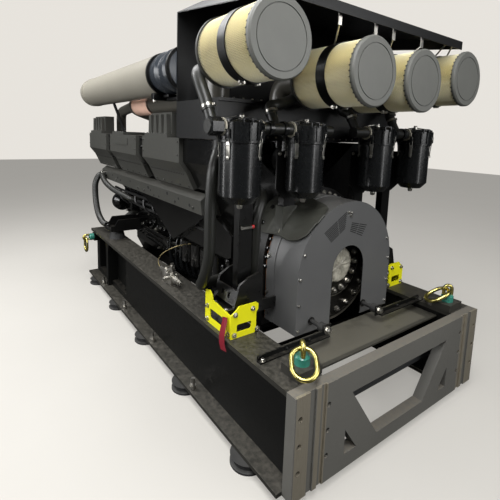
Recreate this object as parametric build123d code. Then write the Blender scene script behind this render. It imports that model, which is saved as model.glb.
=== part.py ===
from build123d import *
import os
from math import cos, radians, sin, tan

# Engine module of a diesel rotary power supply on its welded base frame.
# Millimetres. +X points to the coupling end, +Z up, the origin lies on the floor
# under the middle of the module.

# Overall
engine_far_x = -1780
frame_near_x = 1780
frame_far_x = -1600
crank_z = 850
seat_gap = 0.3

# Base frame: box beams with a top flange and a ledge
frame_top_z = 555
flange_outer_y = 807
flange_width = 220
flange_t = 25
ledge_outer_y = 840
ledge_t = 20
foot_height = 50
web_outer_y = 745
web_inner_y = 600
recess_depth = 60
recess_margin = 50
rib_x = -1070
rib_width = 60
rib_depth = 40
rib_flare_z = 430
panel_far_x = -600

# Rubber feet under the beams
foot_r = 95
foot_waist_r = 80
foot_rim_h = 10
foot_flare = 6
foot_y = 790
foot_count = 5
foot_pitch = 700
foot_first_x = -1360

# Studs on the ledge
stud_r = 12
stud_nut_r = 21
stud_nut_h = 20
stud_height = 70
stud_count = 4
stud_pitch = 660
stud_first_x = -1110
stud_y = 812

# Cross members under the engine
cross_count = 3
cross_width = 150
cross_height = 150
cross_first_x = -850
cross_pitch = 900
far_beam_top_z = 250

# End frame at the coupling end
end_t = 60
opening_top_z = 446
opening_bottom_z = 130
opening_top_half = 436
brace_slope = 0.697
corner_cut_y = 470
corner_cut_top_z = 261
flute_depth = 8
flute_width = 34
flute_ys = (635, 700)
bolt_column_ys = (598, 775)
bolt_row_zs = (188, 318, 448)
bolt_hole_r = 13

# Cable cleats behind the end frame
cleat_bar_x = 1640
cleat_bar_z = 290
cleat_bar_t = 30
cleat_count = 9
cleat_pitch = 74
cleat_ring_r = 30
cleat_bore_r = 18
cleat_ring_t = 20
cleat_seat = 3

# Deck over the near bay, and the two angle rails across it
deck_x0 = 1352
deck_x1 = 1620
deck_z = 500
deck_t = 10
rail_x = 1470
rail_leg = 32
rail_t = 8
rail_spans = [(-783, -300), (165, 625)]
rail_end_cut = 22
buffer_r = 27
buffer_pin_r = 13
buffer_length = 45
buffer_plate = 62

# Lifting points
lift_x = 1650
lift_y = 655
lift_block_x = 120
lift_block_y = 150
lift_block_h = 45
far_lift_x = -1540
far_lift_z = 470
far_boss_half = 40
far_boss_face_y = 800
cup_r = 37.5
cup_height = 45
cup_chamfer = 9
eye_rise = 34
eye_radius = 26
eye_wire_r = 11
link_wire_r = 11.5
link_half_width = 57
link_reach = 153
link_rest_deg = 30
lift_yaw_deg = 54

# Engine body: (y, z) points of the half section from the sump flange up to the V
sump_flange_z = 520
valley_z = 1350
valley_half = 200
head_top_z = 1605
head_inner_y = 520
block_x0 = -1560
block_x1 = 900
crankcase_half = 400
crankcase_side = [(330, sump_flange_z), (crankcase_half, 700), (crankcase_half, 980)]
rail_seat = [(490, 1090), (540, 1225)]
bank_side = [(615, 1272), (672, 1388), (727, 1458)]
sump_half = 320
sump_bevel = 80
sump_knee_z = 420
sump_bottom_z = 260
sump_inset = 60

# Crankcase doors between the feet of the engine
door_count = 3
door_pitch = 270
door_first_x = -820
door_width = 210
door_z0 = 715
door_z1 = 925
door_corner_r = 45
door_t = 14

# Bank covers: a wall over the bank side, with a raised lip over part of the length
cover_wall = 30
cover_drop = 9
cover_low_z = 1610
cover_top_z = 1635
cover_wrap_y = 560
cover_spans = [(-1780, -1130), (-1000, -280), (-130, 530)]
lip_spans = [(-1720, -1300), (-920, -600), (-80, 340)]
panel_x0 = -820
panel_x1 = -480
panel_z0 = 1525
panel_z1 = 1590
panel_t = 6
panel_corner_r = 12

# Ribbed towers on the far and near covers
tower_y0 = 620
tower_y1 = 740
tower_top_z = 1785
tower_inset = 20
tower_ribs = 4
tower_rib_depth = 30
tower_rib_drop = 15

# Long rails under the covers
side_rail = [(540, 1225), (600, 1246), (652, 1205), (640, 1108), (540, 1100), (490, 1090)]
side_rail_x0 = -1690
side_rail_x1 = 640

# Rocker covers on the inner slope of each bank
rocker_count = 8
rocker_pitch = 300
rocker_length = 250
rocker_height = 85
rocker_crown = 20
rocker_low = 60
rocker_high = 350
rocker_first_x = -1380

# Gear case and damper at the far end
gear_case_x0 = -1680
gear_case_side = [(300, 560), (400, 760), (400, 980), (485, 1085), (485, 1420), (150, 1480)]
damper_r = 210
damper_hub_r = 150
damper_step = 20
damper_x0 = -1760

# Coolers, oil filters and pump low on the sides
cooler_side = [(-400, 1088), (640, 1088), (850, 1000), (850, 860), (700, 800), (60, 800),
               (-400, 960)]
cooler_depth = 140
cooler_bevel = 40
wedge_side = [(-630, 1088), (600, 1088), (83, 806), (-355, 1000)]
wedge_depth = 190
oil_filter_r = 56
oil_filter_out = 75
oil_filter_count = 4
oil_filter_pitch = 150
oil_filter_first_x = 140
oil_filter_bottom_z = 610
oil_filter_dome = 25
pump_x0 = -1540
pump_x1 = -1400
pump_z = 860
pump_r = 100
pump_eye_r = 55
pump_shoulder = 30
pump_nose = 40
pump_foot = 40
side_pipe_r = 17
side_pipe_out = 52
side_pipe_bend = 32
side_pipe_runs = [(-1500, -1340, 640), (-940, 40, 680), (-900, 0, 640), (-860, -300, 600)]

# Air manifold in the V, and the turbochargers between it and the plenum
manifold_half = 150
manifold_x0 = -1450
manifold_x1 = 530
manifold_shoulder_z = 1600
manifold_top_z = 1650
turbo_x = 600
turbo_y = 165
turbo_z = 1490
turbo_outline = [(0, 0), (0, 70), (40, 108), (110, 108), (150, 62), (195, 55), (195, 92),
                 (275, 92), (290, 58), (290, 0)]
turbo_inlet_r = 58

# Flywheel housing: a flanged bell with a spigot inside the guard
housing_x1 = 1060
housing_half = 440
housing_centre_z = 880
housing_bottom_z = 470
spigot_x1 = 1140
guard_front_x = 1350
guard_half = housing_half - 20
guard_bottom_z = 520
guard_t = 4
band_x0 = 1070
band_x1 = 1146
band_t = 9
arch_half = 142
arch_centre_z = 853

# Coupling rotor
shaft_r = 110
shaft_gap = 0.05
shaft_x0 = 970
disc_margin = 30
disc_r = guard_half - disc_margin
disc_x0 = 1175
disc_t = 40
disc_rim_t = 12
disc_rim_width = 22
hub_flange_r = 215
hub_flange_t = 35
hub_r = 110
hub_x1 = 1275
hub_groove = 8

# Engine mounts on the top flanges
mount_x0 = 970
mount_x1 = 1190
mount_y0 = 590
mount_y1 = 772
mount_rubber_h = 90
mount_rubber_r = 80
mount_rubber_top_r = 60
mount_plate_t = 25
gusset_t = 16
gusset_rise = [(772, 30), (735, 30), (700, 155), (640, 190), (570, 209), (540, 185), (540, 40)]
far_gusset_rise = [(772, 30), (735, 30), (700, 90), (500, 90)]
far_mount_shift = -2150
slope_plate_t = 10
slope_plate_z0 = 40
slope_plate_z1 = 120
slot_r = 9
slot_half = 14
slot_spread = 33

# Yellow transport brackets: front and side plates, outline points from a lower corner
bracket_x1 = 1235
bracket_y1 = 782
bracket_t = 8
bracket_front = [(0, 0), (0, 135), (35, 158), (52, 176), (166, 176), (180, 166), (180, 132),
                 (168, 122), (168, 12), (156, 0)]
bracket_side = [(0, 0), (0, 130), (190, 150), (198, 176), (222, 196), (270, 190), (270, 12),
                (258, 0)]
front_window = (38, 135, 31, 76)
side_window = (70, 215, 34, 92)
window_corner_r = 10

# Breather canisters
can_x = 1250
can_ys = (-760, -320, 320, 760)
can_r = 106
can_bottom_z = 1343
can_cone_h = 40
can_cone_r = 70
can_top_z = 1620
lid_r = 110
lid_shoulder_z = 1705
lid_top_z = 1722
lid_dome_r = 60
lid_knob_r = 11
lid_knob_z = 1748
lid_round = 12
lid_round_h = 8
lid_knob_foot = 4
lid_rib_count = 16
lid_rib_t = 9
lid_rib_depth = 7

# Ports and cross pipes of the canisters
port_z = 1683
port_r = 33
elbow_reaches = (198, 240)
stub_length = 80
stub_lean = (-0.5, 0, 0.87)
stub_reach = 85

# Posts and tapered plates that carry the canisters
post_width = 90
post_depth = 50
post_outer_y = 635
plate_t = 8
plate_low_z = 1270
plate_high_z = 1560
plate_half = 115
plate_shift = 55
post_lap = 60

# Air filters
filter_outer_y = 787
filter_inner_y = 220
filter_outer_z = 2050
filter_inner_z = 1975
filter_outer_front_x = 1570
filter_inner_front_x = 1615
filter_r = 165
filter_rim_r = 173
filter_length = 450
filter_cap_t = 22
filter_groove_r = 133
filter_groove_w = 5
filter_groove_depth = 4
filter_edge = 8
filter_band_width = 60
filter_band_t = 5
filter_band_place = 0.45
outlet_r = 70
outlet_bend = 100
outlet_x = 890
outlet_margin = 20
outlet_straight = 80

# Hood and plenum
hood_x0 = 540
hood_half = 780
plenum_x1 = 1050
plenum_bottom_z = 1615
plenum_top_z = 1840
plenum_flange = 18
bulkhead_t = 10
hood_shoulder_z = 2380
hood_shoulder_y = 610
hood_top_z = 2480
roof_front_x = 1510
roof_front_z = 2290
roof_front_shoulder = 40
roof_t = 6
lip_height = 50

# Hangers of the filters: straps under the roof and rods down to the band
hanger_x = 1485
hanger_spread = 140
hanger_half = 11
hanger_t = 5
hanger_rod_r = 5
hanger_drop = 96
hanger_short_drop = 30
hanger_margin = 58
rod_spread = 75
rod_seat = 30

# Long pipes over the covers
pipe_y = 700
pipe_z = 2050
pipe_r = 145
pipe_x1 = 200
pipe_bead_x = -1685
pipe_bead_w = 20
pipe_bead = 4
bellows_fold = 16
bellows_folds = 2
fold_flank = 0.15
strut_head_x = -1250
strut_foot_x = -760
strut_width = 60
strut_t = 10

# Charge air pipes between the long pipes
charge_y = 450
charge_z = 1900
charge_r = 95
charge_wall = 9
silicone_x0 = -1000
silicone_x1 = -590
elbow_x = -1190
elbow_y = 100
elbow_bend = 110
far_pipe_r = 52
far_pipe_x = -1620
far_pipe_z = 1850
far_pipe_bend = 90

# Valve block on the near top flange of the left beam
valve_x0 = 300
valve_x1 = 390
valve_y0 = -745
valve_y1 = -685
valve_h = 75
valve_port_z = 45
valve_port_r = 23
valve_port_length = 60
valve_cap_r = 15

# Hoses: routes as chosen, as (x, y, z) points
breather_hose_r = 27
breather_lip = 4
breather_routes = [[(1130, -928, 1880), (1060, -915, 1950), (980, -840, 1985),
                    (905, -705, 1965)],
                   [(1190, -480, 1815), (1110, -300, 1862), (1060, -235, 1935)],
                   [(1140, 90, 1814), (1102, 112, 1866), (1045, 105, 1905), (1005, -20, 1925),
                    (985, -170, 1930)],
                   [(1090, 640, 1875), (1000, 672, 1900), (905, 690, 1905)]]
plenum_hose_r = 32
plenum_hose = [(1000, -740, plenum_bottom_z), (1000, -740, 1560), (1045, -800, 1460),
               (1050, -815, 1300), (1050, -815, 960), (1005, -825, 820), (920, -800, 755),
               (865, -690, 740), (865, -520, 755), (865, -crankcase_half, 755)]
shoulder_hose_r = 30
shoulder_hose = [(block_x1, -430, 1300), (1000, -430, 1300), (1095, -490, 1285),
                 (1125, -555, 1180), (1120, -555, 1000), (1105, -555, 860), (1050, -530, 770),
                 (1025, -490, 750), (1025, -housing_half, 750)]
far_hose_r = 31
far_hose = [(-1640, -640, 1150), (-1640, -700, 1148), (-1625, -748, 1060), (-1590, -757, 880),
            (-1485, -757, 725), (-1345, -735, 640), (-1255, -640, 645), (-1240, -540, 710),
            (-1240, -470, 760), (-1240, -crankcase_half, 760)]
far_hose_two_r = 28
far_hose_two = [(-1570, -640, 1160), (-1562, -688, 1150), (-1450, -690, 1085),
                (-1290, -650, 1020), (-1130, -600, 988), (-990, -560, 960), (-960, -490, 950),
                (-960, -crankcase_half, 950)]


def block(x0, x1, y0, y1, z0, z1):
    """Plain block between two corners."""
    return Pos((x0 + x1) / 2, (y0 + y1) / 2, (z0 + z1) / 2) * Box(x1 - x0, y1 - y0, z1 - z0)


def along_x(outline, x0, x1):
    """Outline of (y, z) points carried from x0 to x1."""
    return extrude(Plane.YZ.offset(x0) * make_face(Polyline(*outline, close=True)), x1 - x0)


def along_y(outline, y0, y1):
    """Outline of (x, z) points carried from y0 to y1."""
    return extrude(Plane.XZ.offset(-y1) * make_face(Polyline(*outline, close=True)), y1 - y0)


def rod(start, end, r):
    """Round bar between two points."""
    run = Vector(*end) - Vector(*start)
    return extrude(Plane(origin=start, z_dir=run) * Circle(r), run.length)


def bent(points, radii, r):
    """Round bar or hose along straight runs joined by arcs."""
    path = FilletPolyline(*points, radius=radii)
    return sweep(Plane(origin=path @ 0, z_dir=path % 0) * Circle(r), path=path)


def hose(points, r):
    """Hose whose bends are as wide as its runs allow."""
    radii = []
    for before, corner, after in zip(points, points[1:], points[2:]):
        run_in = Vector(*corner) - Vector(*before)
        run_out = Vector(*after) - Vector(*corner)
        half_turn = radians(run_in.get_angle(run_out)) / 2
        radii.append(0.45 * min(run_in.length, run_out.length) / tan(half_turn))
    return bent(points, radii, r)


def turned_x(outline, y, z):
    """Outline of (x, radius) points turned about an axis along X."""
    face = make_face(Polyline(*outline, close=True))
    return Pos(0, y, z) * revolve(Plane.XY * face, axis=Axis.X, revolution_arc=360)


def turned_z(outline, x, y):
    """Outline of (radius, z) points turned about an upright axis."""
    face = Plane.XZ * make_face(Polyline(*outline, close=True))
    return Pos(x, y, 0) * revolve(face, axis=Axis.Z, revolution_arc=360)


def both_sides(shape):
    """The shape and its mirror image across the middle plane."""
    return [shape, mirror(shape, about=Plane.XZ)]


def mirrored(half):
    """Closed outline from its right half, given as (y, z) from the bottom up."""
    return half + [(-y, z) for y, z in reversed(half)]


pieces = {}


def keep(name, shapes):
    """Adds solids to a node."""
    solids = []
    for shape in shapes if isinstance(shapes, (list, tuple)) else [shapes]:
        solids += shape.solids()
    pieces[name] = pieces.get(name, []) + solids


def make_base_frame():
    flange_inner_y = flange_outer_y - flange_width
    beam_x1 = frame_near_x - end_t
    flange_z = frame_top_z - flange_t
    ledge_z = foot_height + ledge_t
    rib_near = rib_x + rib_width / 2
    rib_far = rib_x - rib_width / 2
    core = block(frame_far_x, beam_x1, web_inner_y, web_outer_y, ledge_z, flange_z)
    for x0, x1 in ((frame_far_x + 2 * recess_margin, rib_far), (rib_near, panel_far_x)):
        core -= block(x0, x1, web_outer_y - recess_depth, web_outer_y,
                      ledge_z + recess_margin, flange_z - recess_margin)
    rib = along_y([(rib_far, ledge_z), (rib_near, ledge_z), (rib_near, rib_flare_z),
                   (rib_x + rib_width, flange_z), (rib_x - rib_width, flange_z),
                   (rib_far, rib_flare_z)], web_outer_y, web_outer_y + rib_depth)
    boss = block(far_lift_x - far_boss_half, far_lift_x + far_boss_half,
                 web_outer_y, far_boss_face_y,
                 far_lift_z - far_boss_half, far_lift_z + far_boss_half)
    beam = core + rib + boss
    keep("beam_right", beam)
    keep("beam_left", mirror(beam, about=Plane.XZ))
    keep("top_flanges", both_sides(block(frame_far_x, beam_x1, flange_inner_y, flange_outer_y,
                                         flange_z, frame_top_z)))
    keep("ledge_flanges", both_sides(block(frame_far_x, beam_x1, flange_inner_y, ledge_outer_y,
                                           foot_height, ledge_z)))
    keep("far_beam", block(frame_far_x, frame_far_x + web_outer_y - web_inner_y,
                           -web_inner_y, web_inner_y, ledge_z, far_beam_top_z))
    for i in range(cross_count):
        x = cross_first_x + i * cross_pitch
        keep("cross_members", block(x, x + cross_width, -web_inner_y, web_inner_y,
                                    ledge_z, ledge_z + cross_height))
    for i in range(foot_count):
        foot = turned_z([(0, 0), (foot_r, 0), (foot_r, foot_rim_h),
                         (foot_waist_r, foot_rim_h + foot_flare), (foot_waist_r, foot_height - foot_rim_h),
                         (foot_r, foot_height), (0, foot_height)],
                        foot_first_x + i * foot_pitch, foot_y)
        keep("rubber_feet", both_sides(foot))
    for i in range(stud_count):
        stud = turned_z([(0, ledge_z), (stud_nut_r, ledge_z), (stud_nut_r, ledge_z + stud_nut_h),
                         (stud_r, ledge_z + stud_nut_h), (stud_r, ledge_z + stud_height),
                         (0, ledge_z + stud_height)], stud_first_x + i * stud_pitch, stud_y)
        keep("ledge_studs", both_sides(stud))


def make_end_frame():
    x0 = frame_near_x - end_t
    plate = block(x0, frame_near_x, -flange_outer_y, flange_outer_y, foot_height, frame_top_z)
    drop = opening_top_z - opening_bottom_z
    low_half = opening_top_half - drop * brace_slope
    plate -= along_x([(-opening_top_half, opening_top_z), (-low_half, opening_bottom_z),
                      (low_half, opening_bottom_z), (opening_top_half, opening_top_z)],
                     x0, frame_near_x)
    corner_drop = corner_cut_top_z - opening_bottom_z
    for side in (-1, 1):
        plate -= along_x([(side * corner_cut_y, corner_cut_top_z),
                          (side * corner_cut_y, opening_bottom_z),
                          (side * (corner_cut_y - corner_drop * brace_slope), opening_bottom_z)],
                         x0, frame_near_x)
        for y in flute_ys:
            plate -= block(frame_near_x - flute_depth, frame_near_x,
                           side * y - flute_width / 2, side * y + flute_width / 2,
                           foot_height, frame_top_z)
        for y in bolt_column_ys:
            for z in bolt_row_zs:
                plate -= rod((x0, side * y, z), (frame_near_x, side * y, z), bolt_hole_r)
    keep("end_frame", plate)
    top = cleat_bar_z + cleat_bar_t
    bar = block(cleat_bar_x, cleat_bar_x + cleat_bar_t, -web_inner_y, web_inner_y,
                cleat_bar_z, top)
    ring = Circle(cleat_ring_r) - Circle(cleat_bore_r)
    x = cleat_bar_x + (cleat_bar_t - cleat_ring_t) / 2
    for i in range(cleat_count):
        y = (i - (cleat_count - 1) / 2) * cleat_pitch
        at = Plane.YZ.offset(x) * Pos(y, top + cleat_bore_r + cleat_seat)
        bar += extrude(at * ring, cleat_ring_t) - block(x, x + cleat_ring_t, -web_inner_y,
                                                        web_inner_y, cleat_bar_z, top)
    keep("cable_cleat_bar", bar)


def make_deck():
    keep("deck_plate", block(deck_x0, deck_x1, -web_inner_y, web_inner_y, deck_z - deck_t, deck_z))
    z = frame_top_z + buffer_plate / 2
    pad_x = rail_x - buffer_length
    for (y0, y1), end_y, cut in zip(rail_spans, (rail_spans[0][1], rail_spans[1][0]),
                                    (0, rail_end_cut)):
        foot = block(rail_x, rail_x + rail_leg, y0, y1, frame_top_z, frame_top_z + rail_t)
        leg = [(y0, frame_top_z), (y1, frame_top_z), (y1, frame_top_z + rail_t),
               (y1 - cut, frame_top_z + rail_leg), (y0, frame_top_z + rail_leg)]
        plate = block(rail_x, rail_x + rail_t, end_y - buffer_plate / 2,
                      end_y + buffer_plate / 2, frame_top_z, frame_top_z + buffer_plate)
        keep("deck_rail", foot + along_x(leg, rail_x, rail_x + rail_t) + plate)
        buffer = rod((guard_front_x, end_y, z), (rail_x, end_y, z), buffer_pin_r)
        keep("guard_buffers", buffer + rod((pad_x, end_y, z), (rail_x, end_y, z), buffer_r))


def lifting_axes():
    """Pivot, outward axis, rest direction and pin direction of each lifting link."""
    yaw = radians(lift_yaw_deg)
    fall = radians(link_rest_deg)
    pivot_z = frame_top_z + lift_block_h + cup_height + eye_rise
    points = {}
    for name, y, lean in (("near_left", -lift_y, (sin(yaw), -cos(yaw))),
                          ("near_right", lift_y, (-cos(yaw), -sin(yaw)))):
        drop = Vector(lean[0] * cos(fall), lean[1] * cos(fall), -sin(fall))
        pin = Vector(lean[0], lean[1], 0).cross(Vector(0, 0, 1))
        points[name] = (Vector(lift_x, y, pivot_z), Vector(0, 0, 1), drop, pin)
    for name, side in (("far_left", -1), ("far_right", 1)):
        pivot = Vector(far_lift_x, side * (far_boss_face_y + cup_height + eye_rise), far_lift_z)
        points[name] = (pivot, Vector(0, side, 0), Vector(0, 0, -1), Vector(side, 0, 0))
    return points


def make_lifting_points():
    for side in (-1, 1):
        keep("lifting_blocks", block(lift_x - lift_block_x / 2, lift_x + lift_block_x / 2,
                                     side * lift_y - lift_block_y / 2,
                                     side * lift_y + lift_block_y / 2,
                                     frame_top_z, frame_top_z + lift_block_h))
    cup_outline = Polyline((0, 0), (cup_r, 0), (cup_r, cup_height - cup_chamfer),
                           (cup_r - cup_chamfer, cup_height), (0, cup_height), close=True)
    cup = revolve(Plane.XZ * make_face(cup_outline), axis=Axis.Z)
    near = eye_radius - eye_wire_r - link_wire_r - seat_gap
    bend = near + link_half_width
    far = link_reach - link_half_width
    loop = Polyline((bend, link_half_width), (far, link_half_width)) \
        + ThreePointArc((far, link_half_width), (link_reach, 0), (far, -link_half_width)) \
        + Polyline((far, -link_half_width), (bend, -link_half_width)) \
        + ThreePointArc((bend, -link_half_width), (near, 0), (bend, link_half_width))
    legs = Polyline((-eye_radius, -eye_rise), (-eye_radius, 0)) \
        + ThreePointArc((-eye_radius, 0), (0, eye_radius), (eye_radius, 0)) \
        + Polyline((eye_radius, 0), (eye_radius, -eye_rise))
    for name, (pivot, out, drop, pin) in lifting_axes().items():
        across = out.cross(pin)
        seat = pivot - out * (cup_height + eye_rise)
        keep("lifting_cups", Plane(origin=seat, x_dir=across, z_dir=out) * cup)
        path = Plane(origin=pivot, x_dir=across, z_dir=across.cross(out)) * legs
        foot = Plane(origin=path @ 0, z_dir=path % 0) * Circle(eye_wire_r)
        keep("lifting_eyes", sweep(foot, path=path))
        ring = Plane(origin=pivot, x_dir=drop, z_dir=pin.cross(drop)) * loop
        wire = Plane(origin=ring @ 0, z_dir=ring % 0) * Circle(link_wire_r)
        keep("link_" + name, sweep(wire, path=ring))


def block_section():
    """Half section of the crankcase and banks, from the sump flange up to the V."""
    return crankcase_side + rail_seat + bank_side + [(bank_side[-1][0], head_top_z),
                                                     (head_inner_y, head_top_z),
                                                     (valley_half, valley_z)]


def make_engine_body():
    body = along_x(mirrored(block_section()), block_x0, block_x1)
    for i in range(door_count):
        x = door_first_x + i * door_pitch
        outline = RectangleRounded(door_width, door_z1 - door_z0, door_corner_r)
        at = Plane.XZ.offset(-crankcase_half - door_t) * Pos(x, (door_z0 + door_z1) / 2)
        for door in both_sides(extrude(at * outline, door_t)):
            body += door
    keep("engine_block", body)
    sump = along_x(mirrored([(sump_half - sump_bevel, sump_bottom_z), (sump_half, sump_knee_z),
                             (sump_half, sump_flange_z)]),
                   block_x0 + sump_inset, block_x1 - sump_inset)
    keep("oil_pan", sump)


def make_bank_covers():
    wall = [(y + cover_wall, z - cover_drop) for y, z in reversed(bank_side)]
    outer_y = wall[0][0]
    section = bank_side + [(bank_side[-1][0], head_top_z), (cover_wrap_y, head_top_z),
                           (cover_wrap_y, cover_low_z), (outer_y, cover_low_z)] + wall
    for (x0, x1), (lip_x0, lip_x1) in zip(cover_spans, lip_spans):
        cover = along_x(section, x0, x1)
        cover += block(lip_x0, lip_x1, cover_wrap_y, outer_y, cover_low_z, cover_top_z)
        if x0 < panel_x0 < panel_x1 < x1:
            outline = RectangleRounded(panel_x1 - panel_x0, panel_z1 - panel_z0, panel_corner_r)
            at = Plane.XZ.offset(-outer_y - panel_t) * Pos((panel_x0 + panel_x1) / 2,
                                                           (panel_z0 + panel_z1) / 2)
            cover += extrude(at * outline, panel_t)
        keep("bank_covers_right", cover)
        keep("bank_covers_left", mirror(cover, about=Plane.XZ))
    for lip_x0, lip_x1 in lip_spans[::2]:
        x0 = lip_x0 + tower_inset
        x1 = lip_x1 - tower_inset
        tower = block(x0, x1, tower_y0, tower_y1 - tower_rib_depth, cover_top_z, tower_top_z)
        pitch = (x1 - x0) / tower_ribs
        for k in range(tower_ribs):
            x = x0 + (k + 0.5) * pitch
            tower += along_y([(x - pitch / 3, cover_top_z), (x + pitch / 3, cover_top_z),
                              (x + pitch / 5, tower_top_z - tower_rib_drop),
                              (x - pitch / 5, tower_top_z - tower_rib_drop)],
                             tower_y1 - tower_rib_depth, tower_y1)
        keep("cover_towers", both_sides(tower))
    keep("side_rails", both_sides(along_x(side_rail, side_rail_x0, side_rail_x1)))


def make_rocker_covers():
    low = Vector(valley_half, valley_z)
    up = (Vector(head_inner_y, head_top_z) - low).normalized()
    out = Vector(-up.Y, up.X)
    outline = []
    for along, height in ((rocker_low, 0), (rocker_low, rocker_height - rocker_crown),
                          (rocker_low + rocker_crown, rocker_height),
                          (rocker_high - rocker_crown, rocker_height),
                          (rocker_high, rocker_height - rocker_crown), (rocker_high, 0)):
        place = low + up * along + out * height
        outline.append((place.X, place.Y))
    for i in range(rocker_count):
        x = rocker_first_x + i * rocker_pitch
        if x + rocker_length / 2 < hood_x0:
            keep("rocker_covers", both_sides(along_x(outline, x - rocker_length / 2,
                                                     x + rocker_length / 2)))


def make_air_manifold():
    manifold = along_x(mirrored([(manifold_half, valley_z), (manifold_half, manifold_shoulder_z),
                                 (elbow_y, manifold_top_z)]), manifold_x0, manifold_x1)
    keep("air_manifold", manifold)
    outline = [(turbo_x + x, r) for x, r in turbo_outline]
    scroll_x = turbo_x + (turbo_outline[2][0] + turbo_outline[3][0]) / 2
    wheel_x = turbo_x + (turbo_outline[6][0] + turbo_outline[7][0]) / 2
    turbo = turned_x(outline, turbo_y, turbo_z)
    foot = valley_half - turbo_y
    turbo += block(scroll_x - foot, scroll_x + foot, turbo_y - foot, turbo_y + foot,
                   valley_z, turbo_z)
    turbo += rod((wheel_x, turbo_y, turbo_z), (wheel_x, turbo_y, plenum_bottom_z), turbo_inlet_r)
    keep("air_manifold", both_sides(turbo))


def make_far_end():
    keep("gear_case", along_x(mirrored(gear_case_side), gear_case_x0, block_x0))
    keep("crank_damper", turned_x([(gear_case_x0, 0), (gear_case_x0, damper_hub_r),
                                   (gear_case_x0 - damper_step, damper_hub_r),
                                   (gear_case_x0 - damper_step, damper_r),
                                   (damper_x0, damper_r), (damper_x0, 0)], 0, crank_z))


def make_side_gear():
    """Coolers, oil filters, pump and small pipes between the crankcase and the beams."""
    engine = pieces["engine_block"][0]
    cooler = along_y(cooler_side, crankcase_half, crankcase_half + cooler_depth)
    outer_low = cooler.edges().filter_by(Axis.X).sort_by(Axis.Y)[-2:].sort_by(Axis.Z)[:1]
    cooler = chamfer(outer_low, cooler_bevel)
    cooler += along_y(wedge_side, crankcase_half, crankcase_half + wedge_depth)
    keep("side_coolers", both_sides(cooler - engine))
    bottom = min(z for _, z in cooler_side)
    for i in range(oil_filter_count):
        filter_can = turned_z([(0, oil_filter_bottom_z),
                               (oil_filter_r - oil_filter_dome, oil_filter_bottom_z),
                               (oil_filter_r, oil_filter_bottom_z + oil_filter_dome),
                               (oil_filter_r, bottom), (0, bottom)],
                              oil_filter_first_x + i * oil_filter_pitch,
                              crankcase_half + oil_filter_out)
        keep("side_coolers", both_sides(filter_can))
    pump_y = crankcase_half + pump_r
    body_x0 = pump_x0 + pump_shoulder
    body_x1 = pump_x1 - pump_nose
    pump = turned_x([(pump_x0, 0), (pump_x0, pump_eye_r), (body_x0, pump_r), (body_x1, pump_r),
                     (pump_x1, pump_eye_r), (pump_x1, 0)], pump_y, pump_z)
    pump += block(body_x0, body_x1, crankcase_half, pump_y, pump_z - pump_foot,
                  pump_z + pump_foot)
    keep("side_pipework", both_sides(pump))
    for x0, x1, z in side_pipe_runs:
        in_y = crankcase_side[0][0]
        out_y = crankcase_half + side_pipe_out
        keep("side_pipework", both_sides(bent([(x0, in_y, z), (x0, out_y, z), (x1, out_y, z),
                                               (x1, in_y, z)],
                                              side_pipe_bend, side_pipe_r) - engine))


def arch_outline(half, bottom_z, centre_z):
    """Upright-sided arch with a round top, as a face in the (y, z) plane."""
    return make_face([Line((-half, centre_z), (-half, bottom_z)),
                      Line((-half, bottom_z), (half, bottom_z)),
                      Line((half, bottom_z), (half, centre_z)),
                      ThreePointArc((half, centre_z), (0, centre_z + half), (-half, centre_z))])


def housing_solid():
    """Bell of the flywheel housing, with the spigot that the guard fits over."""
    bell = arch_outline(housing_half, housing_bottom_z, housing_centre_z)
    spigot = arch_outline(guard_half - guard_t, guard_bottom_z, crank_z)
    return extrude(Plane.YZ.offset(block_x1) * bell, housing_x1 - block_x1) \
        + extrude(Plane.YZ.offset(housing_x1) * spigot, spigot_x1 - housing_x1)


def guard_seat():
    """Housing and spigot, filled out to the band of the guard around them."""
    band = arch_outline(guard_half - guard_t + band_t, guard_bottom_z, crank_z)
    return housing_solid() + extrude(Plane.YZ.offset(band_x0) * band, band_x1 - band_x0)


def make_housing_and_guard():
    keep("flywheel_housing", housing_solid() - rod((shaft_x0 - seat_gap, 0, crank_z),
                                                   (spigot_x1, 0, crank_z),
                                                   shaft_r + shaft_gap))
    outer = arch_outline(guard_half, guard_bottom_z, crank_z)
    inner = arch_outline(guard_half - guard_t, guard_bottom_z - 1, crank_z)
    band = arch_outline(guard_half - guard_t + band_t, guard_bottom_z, crank_z)
    front_x = guard_front_x - guard_t
    wrap = extrude(Plane.YZ.offset(spigot_x1) * (outer - inner), front_x - spigot_x1)
    wrap += extrude(Plane.YZ.offset(band_x0) * (band - inner), band_x1 - band_x0)
    keep("guard_wrap", wrap)
    front = extrude(Plane.YZ.offset(front_x) * outer, guard_t)
    front -= extrude(Plane.YZ.offset(front_x)
                     * arch_outline(arch_half, guard_bottom_z - 1, arch_centre_z), guard_t)
    keep("guard_front", front)


def make_rotor():
    face = disc_x0 + disc_t
    hub_face = face + hub_flange_t
    groove_x = (hub_face + hub_x1) / 2
    rotor = turned_x([(shaft_x0, 0), (shaft_x0, shaft_r), (disc_x0, shaft_r), (disc_x0, disc_r),
                      (face + disc_rim_t, disc_r), (face + disc_rim_t, disc_r - disc_rim_width),
                      (face, disc_r - disc_rim_width), (face, hub_flange_r),
                      (hub_face, hub_flange_r), (hub_face, hub_r), (groove_x, hub_r),
                      (groove_x, hub_r - hub_groove), (groove_x + hub_groove, hub_r - hub_groove),
                      (groove_x + hub_groove, hub_r), (hub_x1, hub_r), (hub_x1, 0)], 0, crank_z)
    keep("coupling_rotor", rotor)


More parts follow.
